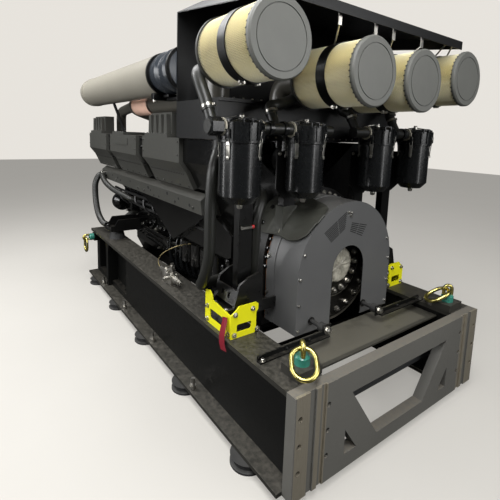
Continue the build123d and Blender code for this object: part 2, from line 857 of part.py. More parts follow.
def make_mounts():
    rubber_top = frame_top_z + mount_rubber_h
    plate_top = rubber_top + mount_plate_t
    mid_y = (mount_y0 + mount_y1) / 2
    for shift, reach_y, rise in ((0, housing_half, gusset_rise),
                                 (far_mount_shift, crankcase_half, far_gusset_rise)):
        x0 = mount_x0 + shift
        x1 = mount_x1 + shift
        cone = turned_z([(0, frame_top_z), (mount_rubber_r, frame_top_z),
                         (mount_rubber_top_r, rubber_top), (0, rubber_top)], (x0 + x1) / 2, mid_y)
        keep("mount_rubbers", both_sides(cone))
        bracket = block(x0, x1, reach_y, mount_y1, rubber_top, plate_top)
        edge = [(y, plate_top + height) for y, height in rise]
        gusset = [(reach_y, plate_top), (mount_y1, plate_top)] + edge
        gusset.append((reach_y, edge[-1][1]))
        for x in (x0, x1 - gusset_t):
            bracket += along_x(gusset, x, x + gusset_t)
        if rise is gusset_rise:
            bracket += slope_plate(plate_top)
        keep("engine_mounts", both_sides(bracket))


def slope_plate(plate_top):
    """Slotted plate that leans between the two gussets of a near mount."""
    (y0, rise0), (y1, rise1) = gusset_rise[1:3]
    lean = (y1 - y0) / (rise1 - rise0)
    low_y = y0 + (slope_plate_z0 - rise0) * lean
    high_y = y0 + (slope_plate_z1 - rise0) * lean
    low_z = plate_top + slope_plate_z0
    high_z = plate_top + slope_plate_z1
    slope = along_x([(low_y, low_z), (high_y, high_z), (high_y - slope_plate_t, high_z),
                     (low_y - slope_plate_t, low_z)], mount_x0 + gusset_t, mount_x1 - gusset_t)
    mid_x = (mount_x0 + mount_x1) / 2
    mid_y = (low_y + high_y) / 2
    mid_z = (low_z + high_z) / 2
    for x in (mid_x - slot_spread, mid_x + slot_spread):
        slope -= block(x - slot_r, x + slot_r, mid_y - 2 * slot_half, mid_y + 2 * slot_half,
                       mid_z - slot_half, mid_z + slot_half)
    return slope


def bracket_plate(outline, window):
    """Face of a transport bracket plate with its rounded window, from a lower corner."""
    x0, x1, z0, z1 = window
    hole = Pos((x0 + x1) / 2, (z0 + z1) / 2) * RectangleRounded(x1 - x0, z1 - z0, window_corner_r)
    return make_face(Polyline(*outline, close=True)) - hole


def make_transport_brackets():
    front_plane = Plane(origin=(bracket_x1, bracket_y1, frame_top_z), x_dir=(0, -1, 0),
                        z_dir=(-1, 0, 0))
    side_plane = Plane(origin=(bracket_x1 - bracket_t, bracket_y1 - bracket_t, frame_top_z),
                       x_dir=(-1, 0, 0), z_dir=(0, 1, 0))
    bracket = extrude(front_plane * bracket_plate(bracket_front, front_window), bracket_t)
    bracket += extrude(side_plane * bracket_plate(bracket_side, side_window), bracket_t)
    keep("transport_brackets", both_sides(bracket))


def breather_lid(y):
    lid = turned_z([(0, can_top_z), (lid_r, can_top_z), (lid_r, lid_shoulder_z),
                    (lid_r - lid_round, lid_shoulder_z + lid_round_h), (lid_dome_r, lid_top_z),
                    (lid_knob_r, lid_top_z + lid_knob_foot), (lid_knob_r, lid_knob_z), (0, lid_knob_z)],
                   can_x, y)
    rib = Pos(lid_r + lid_rib_depth / 2 - 1, 0, (can_top_z + lid_shoulder_z) / 2) \
        * Box(lid_rib_depth + 2, lid_rib_t, lid_shoulder_z - can_top_z)
    for i in range(lid_rib_count):
        angle = (i + 0.5) * 360 / lid_rib_count
        lid += Pos(can_x, y, 0) * Rot(0, 0, angle) * rib
    return lid


def breather_post(y):
    side = 1 if y > 0 else -1
    outer = abs(y) == max(can_ys)
    plate_x = can_x - can_r - seat_gap
    foot_y = side * post_outer_y if outer else y
    foot_z = frame_top_z + mount_rubber_h + mount_plate_t if outer else crank_z
    middle = y - side * plate_shift if outer else y
    post = block(plate_x - plate_t - post_depth, plate_x - plate_t,
                 foot_y - post_width / 2, foot_y + post_width / 2, foot_z,
                 plate_low_z + post_lap)
    plate = along_x([(foot_y - post_width / 2, plate_low_z), (foot_y + post_width / 2, plate_low_z),
                     (middle + plate_half, can_bottom_z), (middle + plate_half, plate_high_z),
                     (middle - plate_half, plate_high_z), (middle - plate_half, can_bottom_z)],
                    plate_x - plate_t, plate_x)
    return post + plate if outer else post + plate - guard_seat()


def make_breathers():
    for y in can_ys:
        can = turned_z([(0, can_bottom_z - can_cone_h), (can_cone_r, can_bottom_z - can_cone_h),
                        (can_r, can_bottom_z), (can_r, can_top_z), (0, can_top_z)], can_x, y)
        keep("breather_bodies", can)
        keep("breather_lids", breather_lid(y))
        keep("breather_posts", breather_post(y))
    lean = Vector(*stub_lean).normalized()
    stubs = []
    for first, second, elbow_reach in zip(can_ys[::2], can_ys[1::2], elbow_reaches):
        elbow = Vector(can_x, first - elbow_reach, port_z)
        middle = Vector(can_x, (first + second) / 2, port_z)
        end = (can_x, second + lid_r + stub_length, port_z)
        pipe = rod(tuple(elbow), end, port_r)
        for start in (elbow + Vector(0, port_r, 0), middle):
            top = start + lean * stub_reach
            pipe += rod(tuple(start), tuple(top), breather_hose_r)
            stubs.append(top)
        for lid in pieces["breather_lids"]:
            pipe -= lid
        keep("breather_pipes", pipe)
    for top, route in zip(stubs, breather_routes):
        start = [tuple(top), tuple(top + lean * (2 * breather_hose_r))]
        tube = hose(start + route, breather_hose_r + breather_lip)
        for outlet in pieces["filter_outlets"]:
            tube -= outlet
        keep("breather_hoses", tube.solids().sort_by(Axis.X)[-1])


def filter_places():
    """Axis (y, z) and front x of each of the four air filters."""
    return [(side * y, z, x1) for side in (-1, 1)
            for y, z, x1 in ((filter_outer_y, filter_outer_z, filter_outer_front_x),
                             (filter_inner_y, filter_inner_z, filter_inner_front_x))]


def make_air_filters():
    groove = filter_groove_r
    for y, z, x1 in filter_places():
        x0 = x1 - filter_length
        front = x1 - filter_cap_t
        back = x0 + filter_cap_t
        keep("filter_elements", turned_x([(back, 0), (back, filter_r), (front, filter_r),
                                          (front, 0)], y, z))
        keep("filter_caps", turned_x([(front, 0), (front, filter_rim_r),
                                      (x1 - filter_edge, filter_rim_r),
                                      (x1, filter_rim_r - filter_edge),
                                      (x1, groove + filter_groove_w),
                                      (x1 - filter_groove_depth, groove + filter_groove_w),
                                      (x1 - filter_groove_depth, groove), (x1, groove),
                                      (x1, 0)], y, z))
        keep("filter_caps", turned_x([(x0, 0), (x0, filter_rim_r - filter_edge),
                                      (x0 + filter_edge, filter_rim_r),
                                      (back, filter_rim_r), (back, 0)], y, z))
        band_x = x0 + filter_length * filter_band_place
        band_r = filter_r + filter_band_t
        keep("filter_bands", turned_x([(band_x, filter_r), (band_x, band_r),
                                       (band_x + filter_band_width, band_r),
                                       (band_x + filter_band_width, filter_r)], y, z))
        down = min(abs(y), hood_half - outlet_r - outlet_margin) * (1 if y > 0 else -1)
        route = [(x0, y, z), (outlet_x, down, z), (outlet_x, down, plenum_top_z)]
        if down != y:
            route.insert(1, (x0 - outlet_straight, y, z))
        keep("filter_outlets", bent(route, outlet_bend, outlet_r))


def roof_height(x):
    """Height of the underside of the roof's flat top at this x."""
    share = (x - hood_x0 - bulkhead_t) / (roof_front_x - hood_x0 - bulkhead_t)
    return hood_top_z - roof_t + share * (roof_front_z - hood_top_z)


def make_filter_hangers():
    for y, z, x1 in filter_places():
        band_x = x1 - filter_length * (1 - filter_band_place) + filter_band_width / 2
        band = turned_x([(x1 - filter_length, 0), (x1 - filter_length, filter_r + filter_band_t),
                         (x1, filter_r + filter_band_t), (x1, 0)], y, z)
        outer = abs(y) == filter_outer_y
        drop = hanger_short_drop if outer else hanger_drop
        for spread in (-hanger_spread, hanger_spread):
            limit = hood_half - hanger_margin
            top_y = max(min(y + spread, limit), -limit)
            top = roof_height(hanger_x)
            low = top - drop
            strap = block(hanger_x, hanger_x + hanger_t, top_y - hanger_half,
                          top_y + hanger_half, low, top + roof_t)
            strap -= hood_roof_solid()
            foot = (band_x, y + (rod_spread if spread > 0 else -rod_spread), z + filter_r - rod_seat)
            rod_solid = rod((hanger_x, top_y, low + hanger_half), foot, hanger_rod_r) - band
            keep("filter_hangers", strap + rod_solid.solids().sort_by(Axis.Z)[-1])


def hood_roof_solid():
    low = roof_front_z - roof_front_shoulder
    back = [(hood_half, hood_shoulder_z - roof_t), (hood_half, hood_shoulder_z),
            (hood_shoulder_y, hood_top_z), (-hood_shoulder_y, hood_top_z),
            (-hood_half, hood_shoulder_z), (-hood_half, hood_shoulder_z - roof_t),
            (-hood_shoulder_y, hood_top_z - roof_t), (hood_shoulder_y, hood_top_z - roof_t)]
    fold = hood_half - roof_front_shoulder
    front = [(hood_half, low - roof_t), (hood_half, low), (fold, roof_front_z),
             (-fold, roof_front_z), (-hood_half, low), (-hood_half, low - roof_t),
             (-fold, roof_front_z - roof_t), (fold, roof_front_z - roof_t)]
    faces = [Plane.YZ.offset(x) * make_face(Polyline(*points, close=True))
             for x, points in ((hood_x0 + bulkhead_t, back), (roof_front_x, front))]
    return loft(faces, ruled=True)


def make_hood():
    plenum = block(hood_x0, plenum_x1, -hood_half, hood_half, plenum_bottom_z, plenum_top_z)
    flange = block(plenum_x1, plenum_x1 + plenum_flange, -hood_half, hood_half,
                   plenum_top_z - plenum_flange, plenum_top_z)
    keep("plenum_box", plenum + flange)
    keep("hood_bulkhead", along_x(mirrored([(hood_half, plenum_top_z),
                                            (hood_half, hood_shoulder_z),
                                            (hood_shoulder_y, hood_top_z)]),
                                  hood_x0, hood_x0 + bulkhead_t))
    keep("hood_roof", hood_roof_solid())
    keep("hood_lip", block(roof_front_x, roof_front_x + roof_t, -hood_half, hood_half,
                           roof_front_z - lip_height, roof_front_z))


def make_long_pipes():
    fold_length = (hood_x0 - pipe_x1) / (2 * bellows_folds + 1)
    bellows = [(pipe_x1, 0)]
    for i in range(2 * bellows_folds + 1):
        r = pipe_r if i % 2 else pipe_r - bellows_fold
        x0 = pipe_x1 + i * fold_length
        x1 = x0 + fold_length
        flank = fold_flank * fold_length
        bellows += [(x0 + flank, r), (x1 - flank, r)]
    bellows.append((hood_x0, 0))
    bellows[1] = (pipe_x1, pipe_r - bellows_fold)
    bellows[-2] = (hood_x0, pipe_r - bellows_fold)
    bead_end = pipe_bead_x + pipe_bead_w
    for side in (-1, 1):
        y = side * pipe_y
        keep("long_pipes", turned_x([(engine_far_x, 0), (engine_far_x, pipe_r),
                                     (pipe_bead_x, pipe_r), (pipe_bead_x, pipe_r + pipe_bead),
                                     (bead_end, pipe_r + pipe_bead), (bead_end, pipe_r),
                                     (pipe_x1, pipe_r), (pipe_x1, 0)], y, pipe_z))
        keep("pipe_bellows", turned_x(bellows, y, pipe_z))
        pipe = rod((bead_end, y, pipe_z), (pipe_x1, y, pipe_z), pipe_r)
        strut = along_y([(strut_foot_x, cover_top_z), (strut_foot_x + strut_width, cover_top_z),
                         (strut_head_x + strut_width, pipe_z), (strut_head_x, pipe_z)],
                        y - strut_t / 2, y + strut_t / 2)
        keep("pipe_struts", strut - pipe)


def make_charge_pipes():
    for side in (-1, 1):
        y = side * charge_y
        keep("inner_pipes", rod((silicone_x1, y, charge_z), (hood_x0, y, charge_z), charge_r))
        keep("silicone_hoses", rod((silicone_x0, y, charge_z), (silicone_x1, y, charge_z),
                                   charge_r + charge_wall))
        elbow = bent([(silicone_x0, y, charge_z), (elbow_x, y, charge_z),
                      (elbow_x, side * elbow_y, charge_z - elbow_bend),
                      (elbow_x, side * elbow_y, manifold_top_z)], elbow_bend, charge_r - charge_wall)
        tail = bent([(elbow_x, y, charge_z), (far_pipe_x, y, far_pipe_z),
                     (far_pipe_x, y, gear_case_side[-2][1])], far_pipe_bend, far_pipe_r)
        keep("inner_pipes", elbow + tail - along_x(mirrored(gear_case_side), gear_case_x0,
                                                   block_x0))


def make_valve_block():
    top = frame_top_z + valve_h
    mid_y = (valve_y0 + valve_y1) / 2
    mid_z = frame_top_z + valve_port_z
    valve = block(valve_x0, valve_x1, valve_y0, valve_y1, frame_top_z, top)
    valve += rod((valve_x1, mid_y, mid_z), (valve_x1 + valve_port_length, mid_y, mid_z),
                 valve_port_r)
    valve += rod((valve_x0 - valve_port_length, mid_y, mid_z), (valve_x0, mid_y, mid_z),
                 valve_cap_r)
    valve += rod(((valve_x0 + valve_x1) / 2, mid_y, top),
                 ((valve_x0 + valve_x1) / 2, mid_y, top + 2 * valve_cap_r), valve_cap_r)
    keep("valve_block", valve)


def make_side_hoses():
    far_rail = along_x([(-y, z) for y, z in side_rail], side_rail_x0, side_rail_x1)
    keep("side_hoses", hose(plenum_hose, plenum_hose_r))
    keep("side_hoses", hose(shoulder_hose, shoulder_hose_r))
    keep("side_hoses", hose(far_hose, far_hose_r) - far_rail)
    keep("side_hoses", hose(far_hose_two, far_hose_two_r) - far_rail)


make_base_frame()
make_end_frame()
make_deck()
make_lifting_points()
make_engine_body()
make_bank_covers()
make_rocker_covers()
make_air_manifold()
make_far_end()
make_side_gear()
make_housing_and_guard()
make_rotor()
make_mounts()
make_transport_brackets()
make_air_filters()
make_filter_hangers()
make_breathers()
make_hood()
make_long_pipes()
make_charge_pipes()
make_valve_block()
make_side_hoses()

os.makedirs("parts", exist_ok=True)
for name, solids in pieces.items():
    export_step(Compound(children=solids), f"parts/{name}.step")
    print(name, len(solids))
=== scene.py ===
import bmesh
import bpy
import random
from bpy.props import FloatProperty, FloatVectorProperty, IntProperty, PointerProperty
from math import atan2, cos, exp, hypot, pi, radians, sin
from mathutils import Matrix, Vector, noise


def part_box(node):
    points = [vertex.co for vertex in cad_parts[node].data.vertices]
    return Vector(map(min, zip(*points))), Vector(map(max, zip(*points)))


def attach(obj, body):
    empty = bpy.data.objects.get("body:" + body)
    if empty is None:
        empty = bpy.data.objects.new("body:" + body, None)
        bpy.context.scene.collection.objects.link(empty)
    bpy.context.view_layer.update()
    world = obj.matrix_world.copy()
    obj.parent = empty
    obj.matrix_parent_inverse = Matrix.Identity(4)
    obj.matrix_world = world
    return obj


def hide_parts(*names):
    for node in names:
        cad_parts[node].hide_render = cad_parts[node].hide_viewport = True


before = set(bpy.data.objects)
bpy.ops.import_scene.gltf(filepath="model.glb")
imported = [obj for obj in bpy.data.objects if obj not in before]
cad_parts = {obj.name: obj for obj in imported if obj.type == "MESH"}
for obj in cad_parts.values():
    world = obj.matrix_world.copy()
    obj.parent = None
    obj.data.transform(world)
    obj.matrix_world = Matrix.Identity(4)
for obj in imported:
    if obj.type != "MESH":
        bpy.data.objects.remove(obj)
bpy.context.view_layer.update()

bl_info = {
    "name": "Engine Module Dressing",
    "version": (1, 0, 0),
    "blender": (4, 5, 0),
    "location": "View3D > Sidebar > Engine Module",
    "description": "Finishes and small parts for a packed diesel engine module",
    "category": "Object",
}

# Places that several groups share, in metres. The first six are read from the frame's nodes.
FRAME_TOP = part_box("top_flanges")[1].z
LEDGE_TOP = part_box("ledge_flanges")[1].z
GUARD_FRONT_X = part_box("guard_front")[1].x
GUARD_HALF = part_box("guard_front")[1].y
RAIL_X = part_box("deck_rail")[0].x
HUB_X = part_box("coupling_rotor")[1].x
SIDES = (-1, 1)

# Engine, housing and guard
CRANK_Z = 0.85
BLOCK_Y = 0.40
PAN_Y = 0.345
HOUSING_R = 0.44
HOUSING_Z = 0.88
WRAP_R = GUARD_HALF + 0.005
WRAP_X = 1.090
PRIMER_X = 1.0725
ARCH_HALF = 0.142
ARCH_Z = 0.853
ARCH_ANGLES = [radians(7.5 * k) for k in range(25)]
BUFFER_YS = (-0.300, 0.165)
DISC_RIM_R = 0.374
FLANGE_R = 0.212

# Breather canisters; the angles are in degrees round each one
CAN_X = 1.25
CAN_YS = (-0.76, -0.32, 0.32, 0.76)
CAN_R = 0.106
LID_R = 0.110
LID_TOP = 1.7225
CAN_SEAM_Z = 1.615
CAN_STRAP_Z = 1.545
CAN_FOOT_Z = 1.303
PORT_Z = 1.683
PORT_ENDS = ((-0.92, -1), (0.915, 1))
PORT_JOINTS = (-0.54, 0.54)
HOSE_YS = (-0.925, -0.54, 0.113, 0.54)
LATCH_ANGLES = (-126, -68, 22, 112)
YOKE_ANGLES = (-68, 22, 112, 202)

# Air filters, by y, z and front x, and long pipes
FILTERS = ((-0.787, 2.05, 1.57), (-0.22, 1.975, 1.615), (0.22, 1.975, 1.615),
           (0.787, 2.05, 1.57))
FILTER_LENGTH = 0.45
FILTER_R = 0.165
PLEAT_TIP = 0.1632
PLEAT_ROOT = 0.150
CAP_REAR_X = 1.38
PIPE_Y = 0.70
PIPE_Z = 2.05
PIPE_R = 0.145

# Bank covers: their spans and their lips' along X, the section's lower edge and knee in Y and
# Z, the rail below them, and the rail's holes by x, z and radius
COVER_SPANS = ((-1.78, -1.13), (-1.0, -0.28), (-0.13, 0.53))
LIP_SPANS = ((-1.72, -1.30), (-0.92, -0.60), (-0.08, 0.34))
COVER_Y = 0.757
COVER_LOW = Vector((0.645, 1.263))
COVER_KNEE = Vector((0.702, 1.379))
SIDE_RAIL_Y = 0.640
SIDE_RAIL_Z = 1.108
SIDE_RAIL_LEAN = 0.012 / 0.097
RAIL_HOLES = ((-1.306, 1.175, 0.010), (-1.134, 1.167, 0.013), (-1.053, 1.150, 0.011),
              (-0.750, 1.176, 0.009), (-0.292, 1.178, 0.016), (-0.247, 1.158, 0.010),
              (-0.181, 1.124, 0.009), (-0.075, 1.128, 0.009), (0.101, 1.182, 0.014),
              (0.300, 1.170, 0.010), (0.470, 1.150, 0.012))

# Edges of the mat on the guard's shoulder: x, angle at the upper edge and angle at the hem
MAT_EDGES = ((0.893, 138, 146), (0.905, 128, 151), (0.965, 114, 153.5), (1.075, 106.5, 154.5),
             (1.145, 107, 154.5), (1.215, 109, 153), (1.285, 112, 150.5), (1.334, 116, 145),
             (1.351, 124, 134))

# Breather post that the mat is cut out round, from low to high
POST_X = (1.080, 1.142)
POST_Y = (-0.372, -0.268)
COLLAR_TOP = 1.236

# Bare machined strips on the end frame, by distance from the middle, and where they begin
BARE_STRIPS = ((0.642, 0.678), (0.720, 0.800), (0.610, 0.630))
STRIP_X = 1.7665

# Each finish: the record's slot that it belongs to, and the CAD nodes that have it
FINISHES = {
    "frame_top": ("frame_paint", "top_flanges", "ledge_flanges", "lifting_blocks"),
    "deck_paint": ("frame_paint", "deck_plate"),
    "frame_side": ("frame_paint", "beam_left", "beam_right", "far_beam", "cross_members",
                   "deck_rail"),
    "end_frame": ("frame_paint", "end_frame"),
    "guard_grey": ("guard_grey", "guard_wrap", "guard_front"),
    "housing_black": ("guard_grey", "flywheel_housing"),
    "cover_grey": ("engine_grey", "bank_covers_left", "bank_covers_right", "cover_towers",
                   "side_rails"),
    "engine_black": ("engine_black", "engine_block", "oil_pan", "rocker_covers", "gear_case",
                     "crank_damper", "side_coolers", "side_pipework", "air_manifold"),
    "mount_black": ("engine_black", "engine_mounts", "breather_posts", "pipe_struts"),
    "hood_black": ("gloss_black", "plenum_box", "hood_bulkhead", "hood_roof", "hood_lip"),
    "gloss_black": ("gloss_black", "breather_bodies", "breather_lids"),
    "fitting_black": ("gloss_black", "breather_pipes"),
    "hose_rubber": ("hose_rubber", "breather_hoses", "side_hoses"),
    "bellows_rubber": ("hose_rubber", "pipe_bellows"),
    "pipe_grey": ("pipe_grey", "long_pipes"),
    "charge_grey": ("pipe_grey", "inner_pipes", "filter_outlets"),
    "silicone": ("silicone", "silicone_hoses"),
    "filter_cap": ("filter_cap", "filter_caps"),
    "filter_media": ("filter_paper", "filter_elements"),
    "filter_wire": ("filter_paper",),
    "band_black": ("band_black", "filter_bands"),
    "foot_rubber": ("rubber", "rubber_feet", "mount_rubbers", "guard_buffers"),
    "plated_steel": ("plated_steel", "ledge_studs", "filter_hangers", "valve_block"),
    "cleat_black": ("rubber", "cable_cleat_bar"),
    "rotor_steel": ("machined_steel", "coupling_rotor"),
    "teal_paint": ("teal_paint", "lifting_cups"),
    "yellow_plating": ("yellow_plating", "lifting_eyes", "link_near_left", "link_near_right",
                       "link_far_left", "link_far_right"),
    "yellow_paint": ("yellow_paint", "transport_brackets"),
    # painted shade of holes, slots and notches
    "painted_hole_shade": ("engine_black",),
    "brass": ("plated_steel",),
    "pale_gasket": ("rubber",),
    "red_tag": ("yellow_paint",),
    "red_cap": ("silicone",),
    "cable_black": ("hose_rubber",),
    "wrap_film": ("filter_cap",),
    "rubber_mat": ("rubber",),
}


def math_method(kind, swapped=False):
    """Method of Value that adds one Math node for it and what it is given."""
    def method(self, *others):
        return self.paint.math(kind, *((*others, self) if swapped else (self, *others)))
    return method


class Value:
    """A socket of a material. Arithmetic on it adds Math nodes."""

    def __init__(self, paint, socket):
        self.paint = paint
        self.socket = socket

    __add__ = math_method("ADD")
    __radd__ = math_method("ADD", swapped=True)
    __sub__ = math_method("SUBTRACT")
    __rsub__ = math_method("SUBTRACT", swapped=True)
    __mul__ = math_method("MULTIPLY")
    __rmul__ = math_method("MULTIPLY", swapped=True)
    __gt__ = math_method("GREATER_THAN")
    __lt__ = math_method("LESS_THAN")
    __abs__ = math_method("ABSOLUTE")
    sine = math_method("SINE")
    power = math_method("POWER")

    def clamped(self):
        return self.paint.node("ShaderNodeClamp", {}, {"Value": self})

    def smooth(self, low, high):
        """0 below low, 1 above high, and a smooth step between them."""
        return self.paint.node("ShaderNodeMapRange", {"interpolation_type": "SMOOTHSTEP"},
                               {"Value": self, "From Min": low, "From Max": high})

    def step(self, edge, blur):
        """A smooth step that reaches as far to both sides of an edge."""
        return self.smooth(edge - blur, edge + blur)


class Paint:
    """The nodes of a new material, or of a given world, while they are laid out."""

    def __init__(self, name, world=None):
        self.holder = world or bpy.data.materials.new(f"{name}_finish")
        self.holder.use_nodes = True
        self.tree = self.holder.node_tree
        self.tree.nodes.clear()

    def node(self, kind, settings, inputs, output=0):
        made = self.tree.nodes.new(kind)
        for key, setting in settings.items():
            setattr(made, key, setting)
        for key, given in inputs.items():
            if isinstance(given, Value):
                self.tree.links.new(given.socket, made.inputs[key])
            else:
                made.inputs[key].default_value = given
        return Value(self, made.outputs[output])

    def math(self, operation, *values):
        return self.node("ShaderNodeMath", {"operation": operation}, dict(enumerate(values)))

    def place(self):
        return self.node("ShaderNodeTexCoord", {}, {}, "Object")

    def axes(self):
        split = self.node("ShaderNodeSeparateXYZ", {}, {"Vector": self.place()})
        return [Value(self, out) for out in split.socket.node.outputs]

    def facing_up(self):
        normal = self.node("ShaderNodeNewGeometry", {}, {}, "Normal")
        return self.node("ShaderNodeSeparateXYZ", {}, {"Vector": normal}, "Z")

    def noise(self, scale, detail=4.0, roughness=0.55, stretch=(1, 1, 1)):
        place = self.node("ShaderNodeMapping", {}, {"Vector": self.place(), "Scale": stretch})
        return self.node("ShaderNodeTexNoise", {},
                         {"Vector": place, "Scale": scale, "Detail": detail,
                          "Roughness": roughness}, "Fac")

    def mix(self, first, second, share):
        """Colour between two colours, each a socket or three numbers."""
        ends = [c if isinstance(c, Value) else (*c, 1.0) for c in (first, second)]
        return self.node("ShaderNodeMix", {"data_type": "RGBA"},
                         {0: share, 6: ends[0], 7: ends[1]}, 2)

    def shade(self, colour, low, high, share):
        """Colour between two tones of one colour."""
        return self.mix(scaled(colour, low), scaled(colour, high), share)

    def dust(self, level, amount, patches):
        """Dirt on what faces up more than a level, broken into patches."""
        return (self.facing_up().smooth(level, 1.0) * amount * patches).clamped()

    def bump(self, height, distance):
        return self.node("ShaderNodeBump", {}, {"Height": height, "Distance": distance})

    def finish(self, **inputs):
        """Ends the material in one Principled shader."""
        named = {key.replace("_", " "): given for key, given in inputs.items()}
        for key, given in named.items():
            if key.endswith("Color") and not isinstance(given, Value):
                named[key] = (*given, 1.0)
        self.end("ShaderNodeOutputMaterial", self.node("ShaderNodeBsdfPrincipled", {}, named))

    def end(self, kind, shader):
        self.tree.links.new(shader.socket, self.tree.nodes.new(kind).inputs["Surface"])


def scaled(colour, share):
    return tuple(c * share for c in colour)


def painted(name, colour, roughness, spread=0.12, grain=0.00006, dust=0.25, coat=0.0,
            specular=0.5):
    """Paint over metal: soft tone changes, fine grain, and dust on what faces up."""
    paint = Paint(name)
    fine = paint.noise(38.0, 4.0, 0.65)
    dirt = paint.dust(0.55, dust, fine.smooth(0.3, 0.75))
    tone = paint.shade(colour, 1 - spread, 1 + spread, paint.noise(2.3))
    paint.finish(Base_Color=paint.mix(tone, (0.16, 0.145, 0.12), dirt),
                 Roughness=roughness + (fine - 0.5) * 0.16 + dirt * 0.35, Coat_Weight=coat,
                 Coat_Roughness=0.12, Specular_IOR_Level=specular,
                 Normal=paint.bump(paint.noise(700.0, 2.0), grain))


def cast(name, colour, roughness, coat):
    """Gloss paint over a rough casting."""
    paint = Paint(name)
    cloud = paint.noise(4.0)
    lumps = paint.noise(60.0, 3.0)
    dirt = paint.dust(0.6, 0.3, lumps.smooth(0.35, 0.7))
    tone = paint.shade(colour, 0.7, 1.35, cloud)
    paint.finish(Base_Color=paint.mix(tone, (0.07, 0.065, 0.055), dirt),
                 Roughness=roughness + (cloud - 0.5) * 0.2 + dirt * 0.3, Coat_Weight=coat,
                 Coat_Roughness=0.1, Normal=paint.bump(lumps, 0.0009))


def metal(name, colour, roughness):
    """Bare or plated metal with faint turning marks and stains."""
    paint = Paint(name)
    cloud = paint.noise(14.0)
    paint.finish(Base_Color=paint.shade(colour, 0.72, 1.0, cloud.smooth(0.3, 0.7)),
                 Metallic=1.0, Roughness=roughness + (cloud - 0.5) * 0.2,
                 Normal=paint.bump(paint.noise(260.0, 2.0, 0.5), 0.00006))


def rubber(name, colour, roughness, spread=0.2, coat=0.0):
    """Moulded rubber with a dusty bloom."""
    paint = Paint(name)
    cloud = paint.noise(9.0)
    fine = paint.noise(150.0, 3.0)
    tone = paint.shade(colour, 1 - spread, 1 + spread, cloud)
    paint.finish(Base_Color=paint.mix(tone, (0.12, 0.115, 0.1), paint.dust(0.2, 0.25, cloud)),
                 Roughness=roughness + (fine - 0.5) * 0.15, Coat_Weight=coat,
                 Coat_Roughness=0.2, Normal=paint.bump(fine, 0.00015))


def end_frame_paint(name, colour):
    """Frame paint with bare machined strips along the bolting columns."""
    paint = Paint(name)
    x, y = paint.axes()[:2]
    fine = paint.noise(45.0, 4.0, 0.65)
    strips = [abs(y).step(near, 0.002) * (1 - abs(y).step(far, 0.002))
              for near, far in BARE_STRIPS]
    bare = (sum(strips) * x.step(STRIP_X, 0.0015)).clamped() * fine.smooth(0.12, 0.4)
    streaks = paint.noise(30.0, 3.0, 0.6, (1, 14, 0.6))
    bare_tone = paint.mix((0.26, 0.23, 0.175), (0.44, 0.40, 0.32), streaks)
    tone = paint.mix(paint.shade(colour, 0.85, 1.15, paint.noise(2.6)), (0.17, 0.15, 0.12),
                     paint.dust(0.6, 0.75, fine.smooth(0.25, 0.7)))
    paint.finish(Base_Color=paint.mix(tone, bare_tone, bare), Metallic=bare * 0.6,
                 Roughness=0.42 + (fine - 0.5) * 0.2, Normal=paint.bump(fine, 0.0002))


def guard_paint(name, colour):
    """Satin sheet metal paint, with the primer left bare along the rear rim."""
    paint = Paint(name)
    x, y = paint.axes()[:2]
    fine = paint.noise(60.0, 4.0, 0.6)
    rim = (1 - x.step(PRIMER_X, 0.001)) * (abs(y) > 0.30)
    dirt = paint.dust(0.55, 0.45, fine.smooth(0.3, 0.75))
    tone = paint.mix(paint.shade(colour, 0.88, 1.12, paint.noise(3.0)), (0.15, 0.135, 0.11),
                     dirt)
    paint.finish(Base_Color=paint.mix(tone, (0.35, 0.13, 0.04), rim.clamped()),
                 Roughness=0.36 + (fine - 0.5) * 0.14 + dirt * 0.3, Coat_Weight=0.25,
                 Coat_Roughness=0.3, Normal=paint.bump(paint.noise(500.0, 2.0), 0.00006))


def pleat_paper(name, colour):
    """Resin treated paper, with painted shade deep between the pleats."""
    paint = Paint(name)
    y, z = paint.axes()[1:]
    (inner_y, inner_z, _), (outer_y, outer_z, _) = FILTERS[2:]
    outer = abs(y) > (inner_y + outer_y) / 2
    across = abs(y) - (inner_y + outer * (outer_y - inner_y))
    height = z - (inner_z + outer * (outer_z - inner_z))
    radius = (across * across + height * height).power(0.5)
    cloud = paint.noise(12.0)
    # painted shade: the paper darkens from the pleat tips to their roots, where shade falls
    # between the pleats
    paint.finish(Base_Color=paint.mix((0.46, 0.38, 0.20), paint.shade(colour, 0.8, 1.1, cloud),
                                      radius.smooth(PLEAT_ROOT, PLEAT_TIP - 0.0007)),
                 Roughness=0.75 + (cloud - 0.5) * 0.2,
                 Normal=paint.bump(paint.noise(300.0, 2.0), 0.0002))


def capped_urethane(name, colour):
    """Moulded filter cap: satin and scuffed in front, darker at the rim behind."""
    paint = Paint(name)
    x = paint.axes()[0]
    scuff = paint.noise(80.0, 3.0, 0.6, (1, 1, 0.25)).smooth(0.56, 0.74)
    front = x.step(CAP_REAR_X, 0.02)
    tone = paint.shade(colour, 0.88, 1.1, paint.noise(9.0))
    tone = paint.mix(scaled(colour, 0.22), tone, front)
    paint.finish(Base_Color=paint.mix(tone, scaled(colour, 1.35), scuff * front * 0.3),
                 Roughness=0.5 + scuff * 0.2,
                 Normal=paint.bump(paint.noise(420.0, 2.0), 0.0001))


def rotor_steel(name, colour):
    """Oiled dark steel with a bright machined rim and flange edge."""
    paint = Paint(name)
    y, z = paint.axes()[1:]
    height = z - CRANK_Z
    radius = (y * y + height * height).power(0.5)
    bright = (radius.step(DISC_RIM_R, 0.002)
              + radius.step(FLANGE_R, 0.001) * (radius < FLANGE_R + 0.004))
    cloud = paint.noise(11.0)
    tone = paint.shade(colour, 0.5, 1.3, cloud)
    paint.finish(Base_Color=paint.mix(tone, (0.42, 0.39, 0.32), bright.clamped()), Metallic=0.85,
                 Roughness=0.34 + (cloud - 0.5) * 0.3,
                 Normal=paint.bump((radius * 900.0).sine(), 0.00008))


